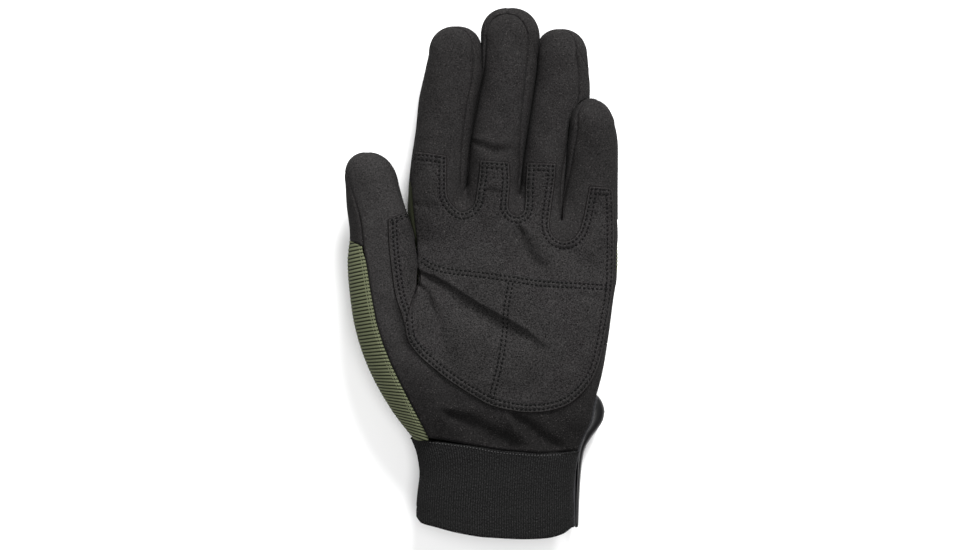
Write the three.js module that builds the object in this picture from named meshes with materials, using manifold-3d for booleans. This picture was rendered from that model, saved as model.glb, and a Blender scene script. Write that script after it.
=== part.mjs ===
import * as THREE from 'three';
import { mergeVertices } from 'three/addons/utils/BufferGeometryUtils.js';
import Module from 'manifold-3d';

// Left-hand tactical glove lying palm up on the back of the hand, in millimetres.
// X runs to the little finger, Y to the fingertips, Z up from the floor. The origin is on the floor
// under the middle of the glove.

const wasm = await Module();
wasm.setup();

// Cloth and clearances
const WALL = 1.4;
const GAP = 0.3;
const LAYER = 1.1;
const FINGER_GAP = 0.7;
const MARGIN = 0.1;

// Closure strap over the back of the wrist
const STRAP_THICK = 2.1;
const STRAP_LEFT = -20;
const STRAP_RIGHT = 46;
const STRAP_LOW = -84;
const STRAP_HIGH = -62;

// Moulded tab and the folded edge beside it
const TAB_LOW = 4;
const TAB_HIGH = 11;
const EDGE_THICK = 1.2;
const EDGE_LOW = 13;
const EDGE_HIGH = 18;
const STRAP_SIDE = 12.6;

// Facets of the tubes: round each tube, along it, and the rings that round off its tip
const OUTSIDE_RINGS = { finger: [12, 4], thumb: [12, 6], palm: [22, 15], cap: [0.95, 0.8, 0.45] };
const INSIDE_RINGS = { finger: [8, 2], thumb: [8, 4], palm: [14, 8], cap: [0.86] };

// Finish of each cloth
const SUEDE = { color: '#3a3938', roughness: 0.95 };
const LAYER_SUEDE = { color: '#403f3d', roughness: 0.92 };
const STRETCH = { color: '#6d6f52', roughness: 0.85 };
const ELASTIC = { color: '#2b2b2a', roughness: 0.9 };
const WEBBING = { color: '#262625', roughness: 0.85 };
const RUBBER = { color: '#47474a', roughness: 0.35 };

function table(columns, rows) {
  return rows.map((row) => Object.fromEntries(columns.map((name, i) => [name, row[i]])));
}

// Sections of each tube from its open end towards its tip
const SECTION = ['y', 'left', 'right', 'bottom', 'top'];
const INDEX = {
  cap: 2.3,
  power: 2.3,
  tip: { x: -12, y: 113.5, z: 19.5 },
  rows: table(SECTION, [
    [1.5, -26, -7.5, 1, 24],
    [20, -32, -7, 1, 26],
    [38.5, -33.5, -7.5, 1, 26],
    [52.5, -32.5, -6.5, 2.5, 26],
    [66, -30.5, -5, 4.5, 26.5],
    [80, -29, -2.5, 6.5, 27.5],
    [91.5, -26.5, 0, 8.5, 28.5],
    [100.5, -24.5, 0, 10, 29],
  ]),
};
const MIDDLE = {
  cap: 2.3,
  power: 2.3,
  tip: { x: 12.5, y: 122, z: 19.5 },
  rows: table(SECTION, [
    [1.5, -6.5, 16.5, 1, 24],
    [20, -7.5, 18, 1, 26],
    [36, -7.5, 17.5, 1, 26],
    [50, -6.5, 18.5, 2.5, 26.5],
    [64, -5, 20.5, 4, 27],
    [77.5, -2.5, 22.5, 6, 27.5],
    [91.5, 0, 24.5, 8, 28],
    [108, -0.5, 26.5, 10.5, 28.5],
  ]),
};
const RING = {
  cap: 2.3,
  power: 2.3,
  tip: { x: 36, y: 112.5, z: 16.5 },
  rows: table(SECTION, [
    [-0.5, 17.5, 37, 1, 23],
    [18, 17.5, 37.5, 1, 25],
    [36, 17.5, 38, 1, 25],
    [50, 18.5, 40, 2, 25],
    [64, 20.5, 43.5, 3, 25],
    [77.5, 22.5, 48.7, 4, 25],
    [91.5, 25, 49.2, 5.5, 25.5],
    [100.5, 26, 48.4, 7, 26],
  ]),
};
const LITTLE = {
  cap: 1.8,
  power: 2.3,
  tip: { x: 50, y: 80.2, z: 23.5 },
  rows: table(SECTION, [
    [-5.5, 39, 57.5, 1, 22],
    [13, 37, 62, 1, 25],
    [27, 36.5, 62, 2, 25],
    [41, 38, 62.5, 4.5, 26],
    [52, 39, 62.5, 8, 28],
    [61.5, 39.5, 62.2, 11, 30],
    [68.4, 40.3, 60.9, 13.5, 31.5],
  ]),
};
const THUMB = {
  cap: 2.3,
  power: 2.3,
  tip: { x: -52.5, y: 55.5, z: 26.5 },
  rows: table(SECTION, [
    [-76.5, -31, -19.5, 8, 28],
    [-65, -40, -14.5, 5, 32],
    [-51, -48.5, -14.5, 3, 36],
    [-37.5, -54.5, -16.5, 3, 38],
    [-23.5, -58.5, -21, 4, 39.5],
    [-10, -60.5, -26, 6, 40],
    [6, -61.5, -29, 9, 39.5],
    [17.5, -60.5, -31, 11, 38.5],
    [31.5, -62, -35.5, 13.5, 37],
    [40.5, -62.5, -38, 15.5, 36.5],
  ]),
};
const PALM = {
  cap: 2.3,
  power: 2.6,
  tip: { x: 14, y: 41, z: 12 },
  rows: table(SECTION, [
    [-135, -29, 42, 3, 34],
    [-111, -30, 42, 3, 32.5],
    [-99.5, -29.2, 42, 2.8, 31],
    [-90, -28.6, 42.5, 2.6, 30],
    [-82, -29.8, 44, 2.4, 30],
    [-75.5, -32.5, 46, 2.3, 30],
    [-60.5, -34.5, 51, 2.2, 32],
    [-46.5, -35, 55, -1, 34],
    [-30.5, -36, 57.5, -2, 35],
    [-12, -31, 60, -2, 34.5],
    [1.5, -30, 62, -2, 32.5],
    [18, -32, 62, -1, 28.5],
    [31.5, -32.5, 61.5, 1, 23],
    [36, -31, 60, 3, 20],
  ]),
};

// Lines where neighbouring fingers part, from the crotch to the tips
const POINT = ['x', 'y'];
const PART_INDEX_MIDDLE = table(POINT, [
  [-8.5, 38],
  [-7.5, 41],
  [-6, 49],
  [-5.5, 62],
  [-3, 76],
  [-0.5, 91],
  [0, 100.5],
  [-0.5, 109],
]);
const PART_MIDDLE_RING = table(POINT, [
  [17, 35.5],
  [17.3, 42],
  [18.2, 48],
  [19.5, 59.5],
  [22, 76.5],
  [24.5, 93.5],
  [26.5, 108],
]);
const PART_THUMB_PALM = table(POINT, [
  [-28.5, -6],
  [-29, 4],
  [-30, 13],
  [-32, 22],
  [-34, 27.5],
  [-36, 42],
]);
const RIGHT_OF_RING = table(POINT, [
  [39, -20],
  [39.4, 40],
  [41.6, 52],
  [45.2, 64],
  [51, 78],
]);
const CROTCH_RING_LITTLE_Y = 23.5;

// Front seams: distance in from the edge of the finger; a minus sign puts the seam on the back
const SEAM = ['y', 'left', 'right'];
const SEAMS = {
  index: table(SEAM, [
    [20, 1.8, 2],
    [38, 1.8, 2],
    [44, 1.2, 2.2],
    [57, 1.2, 2.9],
    [63, 0.1, 3],
    [81, 0.1, 3.6],
    [100, 0.1, 4.2],
    [112, 0.1, 4.5],
  ]),
  middle: table(SEAM, [
    [20, -1, 0.5],
    [50, -1, 0.6],
    [71, -0.5, 3.4],
    [89, 0.1, 4],
    [103, 1.6, 4.6],
    [112, 2.6, 5],
    [118, 5, 6.5],
  ]),
  ring: table(SEAM, [
    [20, -1, 0.5],
    [60, -0.6, 1],
    [78, 0.1, 4.6],
    [98, 0.1, 4.8],
    [110, 0.1, 5.5],
  ]),
  little: table(SEAM, [
    [14, 0.4, 0.8],
    [40, 0.8, 0.3],
    [57, 2.6, 0.1],
    [66, 3.4, 0.1],
    [76, 3.8, 0.1],
  ]),
};
const BACK_SEAM = 3.5;

// Where the black backs of the fingers begin, and how high the side strips reach
const BACK_START = { index: 39, middle: 46, ring: 42, little: 25 };
const STRIP_END = { index: 108, middle: 112, ring: 106, little: 75 };

// Plan lines of the palm-side panels
const THUMB_SEAM = table(POINT, [
  [-61.8, 49],
  [-60.5, 44.5],
  [-59, 36.5],
  [-57, 30],
  [-55, 22],
  [-53.8, 12],
  [-52, 1.5],
  [-50.5, -8.5],
  [-48, -22],
  [-45, -32],
  [-41.5, -41],
  [-37, -50.5],
  [-31.5, -61.5],
  [-27.5, -69],
  [-24.5, -75],
]);
const CUFF_SEAM = table(POINT, [
  [-40, -73.5],
  [-31.5, -74.5],
  [-23.5, -76],
  [-5.5, -78.2],
  [8, -80.5],
  [22, -81.7],
  [35.5, -81.7],
  [47, -80.7],
  [60, -80],
]);
const HEEL_LINE = table(POINT, [
  [-28.2, -7],
  [-30.5, -15],
  [-31.5, -25],
  [-28.5, -31.5],
  [-19, -41.5],
  [-5.5, -51],
  [10.5, -57.5],
  [24, -58.5],
  [36.5, -56.5],
  [44.5, -55],
  [70, -54],
]);
const CUFF_HEM = table(POINT, [
  [-90, -110],
  [-30.5, -111],
  [-28.5, -113],
  [-26, -115],
  [-19, -116.5],
  [-11.5, -118],
  [-1, -120.5],
  [8, -121.5],
  [17.5, -122],
  [26.5, -121.5],
  [34.5, -120],
  [39, -117.5],
  [42, -116],
  [90, -115.5],
]);
const BASE_LINE = table(POINT, [
  [-40, 39],
  [-8.5, 37],
  [17, 34.8],
  [26, 30],
  [36, 22.8],
  [62, 20],
  [70, 20],
]);

// Outline of the second layer on the palm, a run of smooth stretches between corners
const OVERLAY_STRETCHES = [
  table(POINT, [[-40, 57], [-31, 56], [-16, 54]]),
  table(POINT, [
    [-16, 52],
    [-16, 40.5],
    [-15.5, 35],
    [-13, 31],
    [-9.5, 28.5],
    [-6, 29.5],
    [-3.5, 32.5],
    [-2.5, 38],
    [-1.5, 45],
    [-1, 52],
  ]),
  table(POINT, [
    [12.5, 51],
    [13, 42.5],
    [12.5, 36],
    [12.2, 30],
    [14.6, 27],
    [18.3, 27.5],
    [19.6, 31.5],
    [19.8, 40.5],
    [20.5, 52.5],
  ]),
  table(POINT, [
    [34, 50.5],
    [33.5, 42.5],
    [32, 31.5],
    [31, 22],
    [32.5, 17.5],
    [36, 15],
    [40.5, 15.5],
    [44, 19],
    [46, 24.5],
    [47.5, 31.5],
    [49, 40],
  ]),
  table(POINT, [
    [58.5, 39.5],
    [60.5, 37],
    [60.8, 24],
    [60.8, 10.5],
    [60.5, -5.5],
    [59, -16.5],
    [57, -26],
    [55, -37],
    [52, -46],
    [47, -53.5],
    [40, -59.5],
    [32, -62.5],
    [22, -63.5],
    [13, -62.5],
    [3.5, -60],
    [-5.5, -55],
    [-15.5, -48.5],
    [-23.5, -42],
    [-28.5, -37.5],
    [-33, -31.5],
  ]),
  table(POINT, [[-33.4, -25.5], [-33, -21], [-31.5, -15.5], [-30, -11], [-28, -5.5]]),
  table(POINT, [[-40, -5], [-40, 57]]),
];
const THUMB_OVERLAY_STRETCHES = [
  table(POINT, [
    [-42.5, 24.5],
    [-42.5, 20],
    [-42, 12],
    [-41.5, 4.5],
    [-40, -2.5],
    [-39, -10.5],
    [-37.5, -17.5],
    [-36.5, -22],
    [-35, -27],
    [-33.8, -30],
  ]),
  table(POINT, [[-33.9, -25.5], [-33.5, -21], [-32, -15.5], [-30.5, -11], [-28.5, -5.5]]),
  table(POINT, [[-26, -4], [-26, 29]]),
  table(POINT, [[-33, 29], [-38, 25.5], [-42.5, 24.5]]),
];

// Outline of the moulded tab with its tail along the cuff
const TAB_OUTLINE = table(POINT, [
  [38, -62],
  [44, -56.5],
  [49.5, -54.8],
  [53, -56.4],
  [55.8, -59.8],
  [56.8, -64],
  [56, -68],
  [53.6, -72],
  [50, -76.6],
  [47.6, -81],
  [46.4, -86],
  [45.7, -94],
  [45.1, -105],
  [44.9, -115],
  [43.8, -117.6],
  [41.6, -117.6],
  [38, -113],
  [38, -100],
  [38, -86],
]);

// Folds pressed into the palm side: how deep, half width, and the line they follow
const FOLDS = [
  {
    name: 'across_palm',
    depth: 2.6,
    width: 4.2,
    line: table(POINT, [[-30, -1], [-18, -4], [-8, -9.5], [3, -16.5], [14, -24], [26, -31], [32, -35]]),
  },
  {
    name: 'wrist_upper',
    depth: 1.8,
    width: 3,
    line: table(POINT, [[-11, -66], [-4, -71], [4, -75], [11, -78.5]]),
  },
  {
    name: 'wrist_lower',
    depth: 1.8,
    width: 3,
    line: table(POINT, [[9, -67], [13, -72.5], [20, -76], [33, -80.5]]),
  },
  {
    name: 'under_ring',
    depth: 1.2,
    width: 4.5,
    line: table(POINT, [[17.5, 17], [22, 7], [28, 0]]),
  },
];

// Smooth value of one column of a table at y, through its rows
function columnAt(rows, key, y) {
  const last = rows.length - 1;
  if (y <= rows[0].y) return rows[0][key];
  if (y >= rows[last].y) return rows[last][key];
  const i = rows.findIndex((row) => row.y > y) - 1;
  const slope = (j) => (rows[j + 1][key] - rows[j][key]) / (rows[j + 1].y - rows[j].y);
  const tangent = (j) => (j <= 0 || j >= last ? slope(Math.min(j, last - 1)) : (slope(j - 1) + slope(j)) / 2);
  const span = rows[i + 1].y - rows[i].y;
  const t = (y - rows[i].y) / span;
  const rise = rows[i + 1][key] - rows[i][key];
  const start = tangent(i) * span;
  const end = tangent(i + 1) * span;
  const second = 3 * rise - 2 * start - end;
  const third = start + end - 2 * rise;
  return rows[i][key] + t * (start + t * (second + t * third));
}

// Centre and half sizes of a tube at y, grown by a cloth thickness; past its last row it closes to the tip
function sectionAt(tube, y, grow, closing) {
  const capY = tube.rows[tube.rows.length - 1].y;
  const tipY = tube.tip.y + grow;
  const t = THREE.MathUtils.clamp((y - capY) / (tipY - capY), 0, 1);
  const scale = closing ? Math.pow(1 - Math.pow(t, tube.cap), 1 / tube.cap) : 1;
  const at = (key) => columnAt(tube.rows, key, y);
  return {
    x: THREE.MathUtils.lerp((at('left') + at('right')) / 2, tube.tip.x, t),
    z: THREE.MathUtils.lerp((at('bottom') + at('top')) / 2, tube.tip.z, t),
    halfWidth: ((at('right') - at('left')) / 2 + grow) * scale,
    halfHeight: ((at('top') - at('bottom')) / 2 + grow) * scale,
  };
}

function distanceToLine(line, x, y) {
  const point = new THREE.Vector3(x, y, 0);
  const near = new THREE.Vector3();
  let best = Infinity;
  for (let i = 0; i + 1 < line.length; i += 1) {
    const start = new THREE.Vector3(line[i].x, line[i].y, 0);
    const end = new THREE.Vector3(line[i + 1].x, line[i + 1].y, 0);
    new THREE.Line3(start, end).closestPointToPoint(point, true, near);
    best = Math.min(best, near.distanceTo(point));
  }
  return best;
}

function foldDepth(x, y) {
  return FOLDS.reduce((sum, fold) => {
    const ratio = distanceToLine(fold.line, x, y) / fold.width;
    return sum + fold.depth * Math.exp(-ratio * ratio);
  }, 0);
}

function roundedPower(value, power) {
  return Math.sign(value) * Math.pow(Math.abs(value), 2 / power);
}

function toManifold(geometry) {
  const bare = geometry.clone();
  bare.deleteAttribute('normal');
  bare.deleteAttribute('uv');
  const merged = mergeVertices(bare, 1e-4);
  const vertProperties = Float32Array.from(merged.attributes.position.array);
  const triVerts = Uint32Array.from(merged.index.array);
  return new wasm.Manifold(new wasm.Mesh({ numProp: 3, vertProperties, triVerts }));
}

// A closed tube through the sections, made by moving the rings of a sphere to them
function tubeSolid(tube, grow, around, along, capSteps = [0.97, 0.84, 0.62, 0.33]) {
  const capY = tube.rows[tube.rows.length - 1].y;
  const tipY = tube.tip.y + grow;
  const rootY = tube.rows[0].y;
  const rings = capSteps.map((step) => THREE.MathUtils.lerp(capY, tipY, step));
  for (let i = 0; i <= along; i += 1) {
    rings.push(THREE.MathUtils.lerp(capY, rootY, i / along));
  }
  const geometry = new THREE.SphereGeometry(1, around, rings.length + 1);
  const position = geometry.attributes.position;
  for (let i = 0; i < position.count; i += 1) {
    const row = Math.floor(i / (around + 1));
    const angle = ((i % (around + 1)) / around) * 2 * Math.PI;
    if (row === 0) {
      position.setXYZ(i, tube.tip.x, tipY, tube.tip.z);
    } else if (row === rings.length + 1) {
      const root = sectionAt(tube, rootY, grow, true);
      position.setXYZ(i, root.x, rootY, root.z);
    } else {
      const y = rings[row - 1];
      const section = sectionAt(tube, y, grow, true);
      const across = -Math.cos(angle);
      const up = i % (around + 1) === around ? 0 : Math.sin(angle);
      const x = section.x + section.halfWidth * roundedPower(across, tube.power);
      const topness = THREE.MathUtils.smoothstep(up, 0.1, 0.6);
      const z = section.z + section.halfHeight * roundedPower(up, tube.power) - topness * foldDepth(x, y);
      position.setXYZ(i, x, y, z);
    }
  }
  return toManifold(geometry);
}

// An upright prism over an outline on the floor
function prism(points, low = -20, high = 70) {
  const shape = new THREE.Shape(points.map((point) => new THREE.Vector2(point.x, point.y)));
  const geometry = new THREE.ExtrudeGeometry(shape, { depth: high - low, bevelEnabled: false, steps: 1 });
  geometry.translate(0, 0, low);
  return toManifold(geometry);
}

function block(left, right, near, far, low, high) {
  const geometry = new THREE.BoxGeometry(right - left, far - near, high - low);
  geometry.translate((left + right) / 2, (near + far) / 2, (low + high) / 2);
  return toManifold(geometry);
}

function smoothLine(points, finer = 2) {
  const curve = new THREE.SplineCurve(points.map((point) => new THREE.Vector2(point.x, point.y)));
  return curve.getPoints((points.length - 1) * finer);
}

function smoothOutline(stretches) {
  return stretches.flatMap((points) => (points.length > 2 ? smoothLine(points) : points));
}

// Everything to one side of a line that runs up the fingers; side is 1 for the right, -1 for the left
function besideLine(line, side, shift, ease) {
  const run = line.map((point) => ({ x: point.x - side * shift, y: point.y }));
  run[0].y -= ease;
  const end = { x: run[run.length - 1].x, y: 150 };
  return prism([...run, end, { x: side * 150, y: 150 }, { x: side * 150, y: run[0].y }]);
}

// A slice of a tube between two seams, reaching through its wall
function slice(tube, range, angles, core, drop, grow) {
  const geometry = new THREE.BoxGeometry(1, 1, 1, 6, 3, 1);
  const position = geometry.attributes.position;
  for (let i = 0; i < position.count; i += 1) {
    const y = THREE.MathUtils.lerp(range[0], range[1], position.getY(i) + 0.5);
    const atEnd = Math.abs(position.getY(i)) > 0.49;
    const reachY = atEnd ? y + grow * Math.sign(position.getY(i)) : y;
    const section = sectionAt(tube, y, 0, false);
    const [left, right] = angles(y, section);
    const angle = THREE.MathUtils.lerp(left, right, position.getX(i) + 0.5);
    const outer = position.getZ(i) > 0;
    const reach = outer ? 1.5 : core;
    const x = section.x + section.halfWidth * reach * roundedPower(Math.cos(angle), tube.power);
    const z = section.z + section.halfHeight * reach * roundedPower(Math.sin(angle), tube.power);
    position.setXYZ(i, x, reachY, outer ? z : z - drop);
  }
  return toManifold(geometry);
}

// Angle round the section of a seam set in from the edge, below the edge for a minus sign
function seamAngle(inset, section, power) {
  const across = 1 - Math.abs(inset) / section.halfWidth;
  return Math.sign(inset) * Math.acos(Math.pow(across, power / 2));
}

function frontSlice(tube, seams, range, grow) {
  const angles = (y, section) => {
    const margin = grow / section.halfHeight;
    const left = seamAngle(columnAt(seams, 'left', y), section, tube.power);
    const right = seamAngle(columnAt(seams, 'right', y), section, tube.power);
    return [Math.PI - left + margin, right - margin];
  };
  return slice(tube, range, angles, 0.06, 2 + grow, grow);
}

function sideSlice(tube, seams, side, range, grow) {
  const angles = (y, section) => {
    const margin = grow / section.halfHeight;
    const front = seamAngle(columnAt(seams, side, y), section, tube.power) + margin;
    const back = -seamAngle(BACK_SEAM, section, tube.power) - margin;
    return side === 'right' ? [front, back] : [Math.PI - back, Math.PI - front];
  };
  return slice(tube, range, angles, 0.3, 0, grow);
}

function union(list) {
  return list.reduce((sum, next) => sum.add(next));
}

function biggest(solid) {
  const bodies = solid.decompose();
  bodies.sort((a, b) => b.volume() - a.volume());
  return bodies[0];
}

// Hand form grown by a cloth thickness: palm, four fingers and thumb, parted where they part
function handForm(grow, fine) {
  const inward = Math.max(0, -grow);
  const shift = FINGER_GAP / 2 + inward;
  const rings = fine ? OUTSIDE_RINGS : INSIDE_RINGS;
  const finger = (tube, extra = 0) => tubeSolid(tube, grow + extra, ...rings.finger, rings.cap);
  const palm = tubeSolid(PALM, grow, ...rings.palm, rings.cap);
  const index = finger(INDEX);
  const middle = finger(MIDDLE);
  const ring = finger(RING);
  const little = finger(LITTLE);
  const thumb = tubeSolid(THUMB, grow, ...rings.thumb, rings.cap);
  const clearance = block(0, 100, CROTCH_RING_LITTLE_Y - inward, 120, -20, 70);
  const littleRoom = finger(LITTLE, FINGER_GAP + inward + Math.max(0, -grow)).intersect(clearance);
  const between = (line) => {
    const low = besideLine(line, 1, shift, inward);
    return low.intersect(besideLine(line, -1, shift, inward));
  };
  const palmOnly = palm
    .subtract(between(PART_INDEX_MIDDLE))
    .subtract(between(PART_MIDDLE_RING))
    .subtract(besideLine(PART_THUMB_PALM, -1, shift, inward))
    .subtract(littleRoom);
  return union([
    palmOnly,
    index.subtract(besideLine(PART_INDEX_MIDDLE, 1, shift, inward)),
    middle
      .subtract(besideLine(PART_INDEX_MIDDLE, -1, shift, inward))
      .subtract(besideLine(PART_MIDDLE_RING, 1, shift, inward)),
    ring.subtract(besideLine(PART_MIDDLE_RING, -1, shift, inward)).subtract(littleRoom),
    little,
    thumb.subtract(besideLine(PART_THUMB_PALM, 1, shift, inward)),
  ]);
}

const floorUp = block(-200, 200, -200, 200, 0, 100);
const cavityUp = block(-200, 200, -200, 200, WALL, 100);
const aboveHem = prism([...CUFF_HEM, { x: 90, y: 150 }, { x: -90, y: 150 }]);
const aboveCuff = prism([
  ...CUFF_SEAM,
  { x: 90, y: -80 },
  { x: 90, y: 150 },
  { x: -90, y: 150 },
  { x: -90, y: -73.5 },
]);
const belowCuff = prism([
  ...CUFF_SEAM.map((point) => ({ x: point.x, y: point.y - GAP })),
  { x: 90, y: -80 - GAP },
  { x: 90, y: -140 },
  { x: -90, y: -140 },
  { x: -90, y: -73.5 - GAP },
]);

const outside = handForm(0, true).intersect(floorUp).intersect(aboveHem);
const inside = handForm(-WALL, false).intersect(cavityUp);
const shell = outside.subtract(inside);

// Plan areas of the palm-side panels
const thumbAreaAt = (grow) => prism([
  ...THUMB_SEAM.map((point) => ({ x: point.x - grow, y: point.y })),
  ...CUFF_SEAM.filter((point) => point.x > -24),
  { x: 90, y: -80 },
  { x: 90, y: -54 - GAP },
  ...HEEL_LINE.map((point) => ({ x: point.x - GAP * 0.7, y: point.y - GAP * 0.7 })).reverse(),
  ...PART_THUMB_PALM.filter((point) => point.y < 30),
  { x: -36, y: 62 },
  { x: -61.8, y: 62 },
]);
const palmAreaAt = (grow) => prism([
  ...HEEL_LINE,
  { x: 90, y: -54 },
  { x: 90, y: 20 + grow },
  ...BASE_LINE.slice(0, -1).map((point) => ({ x: point.x, y: point.y + grow })).reverse(),
  { x: -40, y: -7 },
]);

const FINGERS = { index: INDEX, middle: MIDDLE, ring: RING, little: LITTLE };
const PALM_REACH = table(POINT, [[-38, -90], [90, -90], [90, 45], [-34, 45], [-34, -6], [-38, -6]]);
const SIDE_SEAM = table(SEAM, [
  [-90, 0.1, 0.8],
  [-40, 0.1, 1.2],
  [-20, 0.1, 0.6],
  [10, 0.1, 0.6],
]);
const THUMB_SIDE = table(SEAM, [
  [-80, 0.1, 0.1],
  [60, 0.1, 0.1],
]);

const littleZone = tubeSolid(LITTLE, FINGER_GAP / 2, ...OUTSIDE_RINGS.finger, OUTSIDE_RINGS.cap);
const littleRoomy = tubeSolid(LITTLE, FINGER_GAP * 0.9, ...OUTSIDE_RINGS.finger, OUTSIDE_RINGS.cap);

// Keeps a slice of one finger off its neighbours
function ownZone(name, solid, grow) {
  const rightOf = (line) => besideLine(line, 1, 0, 60);
  const leftOf = (line) => besideLine(line, -1, 0, 60);
  if (name === 'index') return solid.subtract(rightOf(PART_INDEX_MIDDLE));
  if (name === 'middle') return solid.subtract(leftOf(PART_INDEX_MIDDLE)).subtract(rightOf(PART_MIDDLE_RING));
  if (name === 'ring') {
    return solid.subtract(leftOf(PART_MIDDLE_RING)).subtract(rightOf(RIGHT_OF_RING)).subtract(littleZone);
  }
  return solid.intersect(grow > 0 ? littleRoomy : littleZone);
}

function frontArea(grow, zoned) {
  const palmFront = frontSlice(PALM, SIDE_SEAM, [-84, 37], grow).intersect(prism(PALM_REACH));
  const thumbFront = frontSlice(THUMB, THUMB_SIDE, [-70, 60], grow);
  const fingerFronts = Object.entries(FINGERS).map(([name, tube]) => {
    const whole = frontSlice(tube, SEAMS[name], [name === 'little' ? 12 : 18, tube.tip.y + 3], grow);
    return zoned ? ownZone(name, whole, grow) : whole;
  });
  return {
    palm: union([palmFront.intersect(palmAreaAt(grow)), ...fingerFronts]),
    thumb: union([palmFront, thumbFront]).intersect(thumbAreaAt(grow)),
  };
}

const front = frontArea(0, true);
const frontCut = frontArea(GAP + MARGIN, true);
const layerFront = frontArea(0, false);
const fingersOnly = prism([{ x: -45, y: 20 }, { x: 90, y: 10 }, { x: 90, y: 150 }, { x: -45, y: 150 }]);
const thumbSide = besideLine(PART_THUMB_PALM, -1, 0, 1.2);
const palmPanel = biggest(shell.intersect(front.palm).intersect(aboveCuff).subtract(thumbSide));
const thumbHeel = biggest(
  shell.intersect(front.thumb).intersect(aboveCuff).subtract(frontCut.palm.subtract(thumbSide)),
);

// Side strips between two fingers, joined at the crotch
function strip(first, second, crotch, grow) {
  const low = crotch.y - 6;
  return union([
    ownZone(first, sideSlice(FINGERS[first], SEAMS[first], 'right', [low, STRIP_END[first]], grow), grow),
    ownZone(second, sideSlice(FINGERS[second], SEAMS[second], 'left', [low, STRIP_END[second]], grow), grow),
    block(crotch.x - 4 - grow, crotch.x + 4 + grow, crotch.y - 5 - grow, crotch.y + 2, 4 - grow, 40),
  ]);
}
const ringLittleCrotch = { x: 36.5, y: CROTCH_RING_LITTLE_Y };
const STRIPS = [
  { name: 'fourchette_index_middle', first: 'index', second: 'middle', crotch: PART_INDEX_MIDDLE[0] },
  { name: 'fourchette_middle_ring', first: 'middle', second: 'ring', crotch: PART_MIDDLE_RING[0] },
  { name: 'fourchette_ring_little', first: 'ring', second: 'little', crotch: ringLittleCrotch },
];
const handCloth = shell.intersect(aboveCuff);
const withoutFronts = handCloth
  .subtract(frontCut.palm.subtract(thumbSide))
  .subtract(frontCut.thumb.subtract(fingersOnly.subtract(thumbSide)));
const strips = STRIPS.map((item) => ({
  name: item.name,
  solid: biggest(withoutFronts.intersect(strip(item.first, item.second, item.crotch, 0))),
}));
const backs = STRIPS.reduce((sum, item, i) => {
  const room = strip(item.first, item.second, item.crotch, GAP + MARGIN);
  return sum.subtract(room).subtract(strips[i].solid);
}, withoutFronts);

// Black backs of the fingers and thumb, and the olive cloth between them
function backBlock(name, grow) {
  const section = sectionAt(FINGERS[name], 60, 0, false);
  const wide = 30;
  const high = block(section.x - wide, section.x + wide, BACK_START[name] - grow, 150, -5, 60);
  return ownZone(name, high, grow);
}
const thumbBackArea = (grow) =>
  prism([
    { x: -80, y: 19 - grow },
    { x: -64, y: 18.5 - grow },
    { x: -53, y: 14.3 - grow },
    { x: -24, y: 14 - grow },
    { x: -36.6, y: 45 },
    { x: -36.6, y: 90 },
    { x: -80, y: 90 },
  ]).subtract(besideLine(PART_THUMB_PALM, 1, 0, 0));
const fingerBacks = Object.keys(FINGERS).map((name) => ({
  name: `${name}_finger_back`,
  solid: biggest(backs.intersect(backBlock(name, 0))),
}));
const thumbBack = biggest(backs.intersect(thumbBackArea(0)));
const backPanel = biggest(
  Object.keys(FINGERS)
    .reduce((sum, name) => sum.subtract(backBlock(name, GAP)), backs)
    .subtract(thumbBackArea(GAP)),
);
const cuffBand = biggest(shell.intersect(belowCuff));

// Second layer over the palm and at the thumb
const layerBlank = handForm(GAP + LAYER, true).subtract(handForm(GAP, true)).intersect(aboveCuff);
const palmOverlay = biggest(
  layerBlank
    .intersect(prism(smoothOutline(OVERLAY_STRETCHES)))
    .intersect(union([layerFront.palm, layerFront.thumb]))
    .subtract(besideLine(PART_THUMB_PALM, -1, FINGER_GAP, 0)),
);
const thumbOverlay = biggest(
  layerBlank
    .intersect(prism(smoothOutline(THUMB_OVERLAY_STRETCHES)))
    .intersect(union([layerFront.palm, layerFront.thumb]))
    .subtract(besideLine(PART_THUMB_PALM, 1, FINGER_GAP, 0)),
);

// Strap, moulded tab and folded edge round the wrist
const wristBlank = tubeSolid(PALM, GAP, ...OUTSIDE_RINGS.palm);
const strapBlank = tubeSolid(PALM, GAP + STRAP_THICK, ...OUTSIDE_RINGS.palm).subtract(wristBlank);
const strapArea = block(STRAP_LEFT, STRAP_RIGHT, STRAP_LOW, STRAP_HIGH, 0, STRAP_SIDE);
const closureStrap = biggest(strapBlank.intersect(strapArea).intersect(floorUp));
const tabBlank = prism(smoothLine([...TAB_OUTLINE, TAB_OUTLINE[0]]).slice(0, -1), TAB_LOW, TAB_HIGH);
const strapRoom = tubeSolid(PALM, GAP + STRAP_THICK + GAP, ...OUTSIDE_RINGS.palm)
  .intersect(block(-90, 90, STRAP_LOW - 1, -40, -5, 60));
const pullTab = biggest(tabBlank.subtract(strapRoom).subtract(wristBlank));
const edgeArea = prism([
  { x: 30, y: -57 },
  { x: 60, y: -57 },
  { x: 60, y: -116 },
  { x: 30, y: -116 },
], EDGE_LOW, EDGE_HIGH);
const edgeBlank = tubeSolid(PALM, GAP + EDGE_THICK, ...OUTSIDE_RINGS.palm).subtract(wristBlank);
const cuffBinding = biggest(edgeBlank.intersect(edgeArea));

function toMesh(name, solid, finish) {
  const data = solid.getMesh();
  const geometry = new THREE.BufferGeometry();
  geometry.setAttribute('position', new THREE.BufferAttribute(new Float32Array(data.vertProperties), 3));
  geometry.setIndex(new THREE.BufferAttribute(new Uint32Array(data.triVerts), 1));
  geometry.computeVertexNormals();
  const material = new THREE.MeshStandardMaterial({ ...finish, metalness: 0 });
  const mesh = new THREE.Mesh(geometry, material);
  mesh.name = name;
  return mesh;
}

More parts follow.
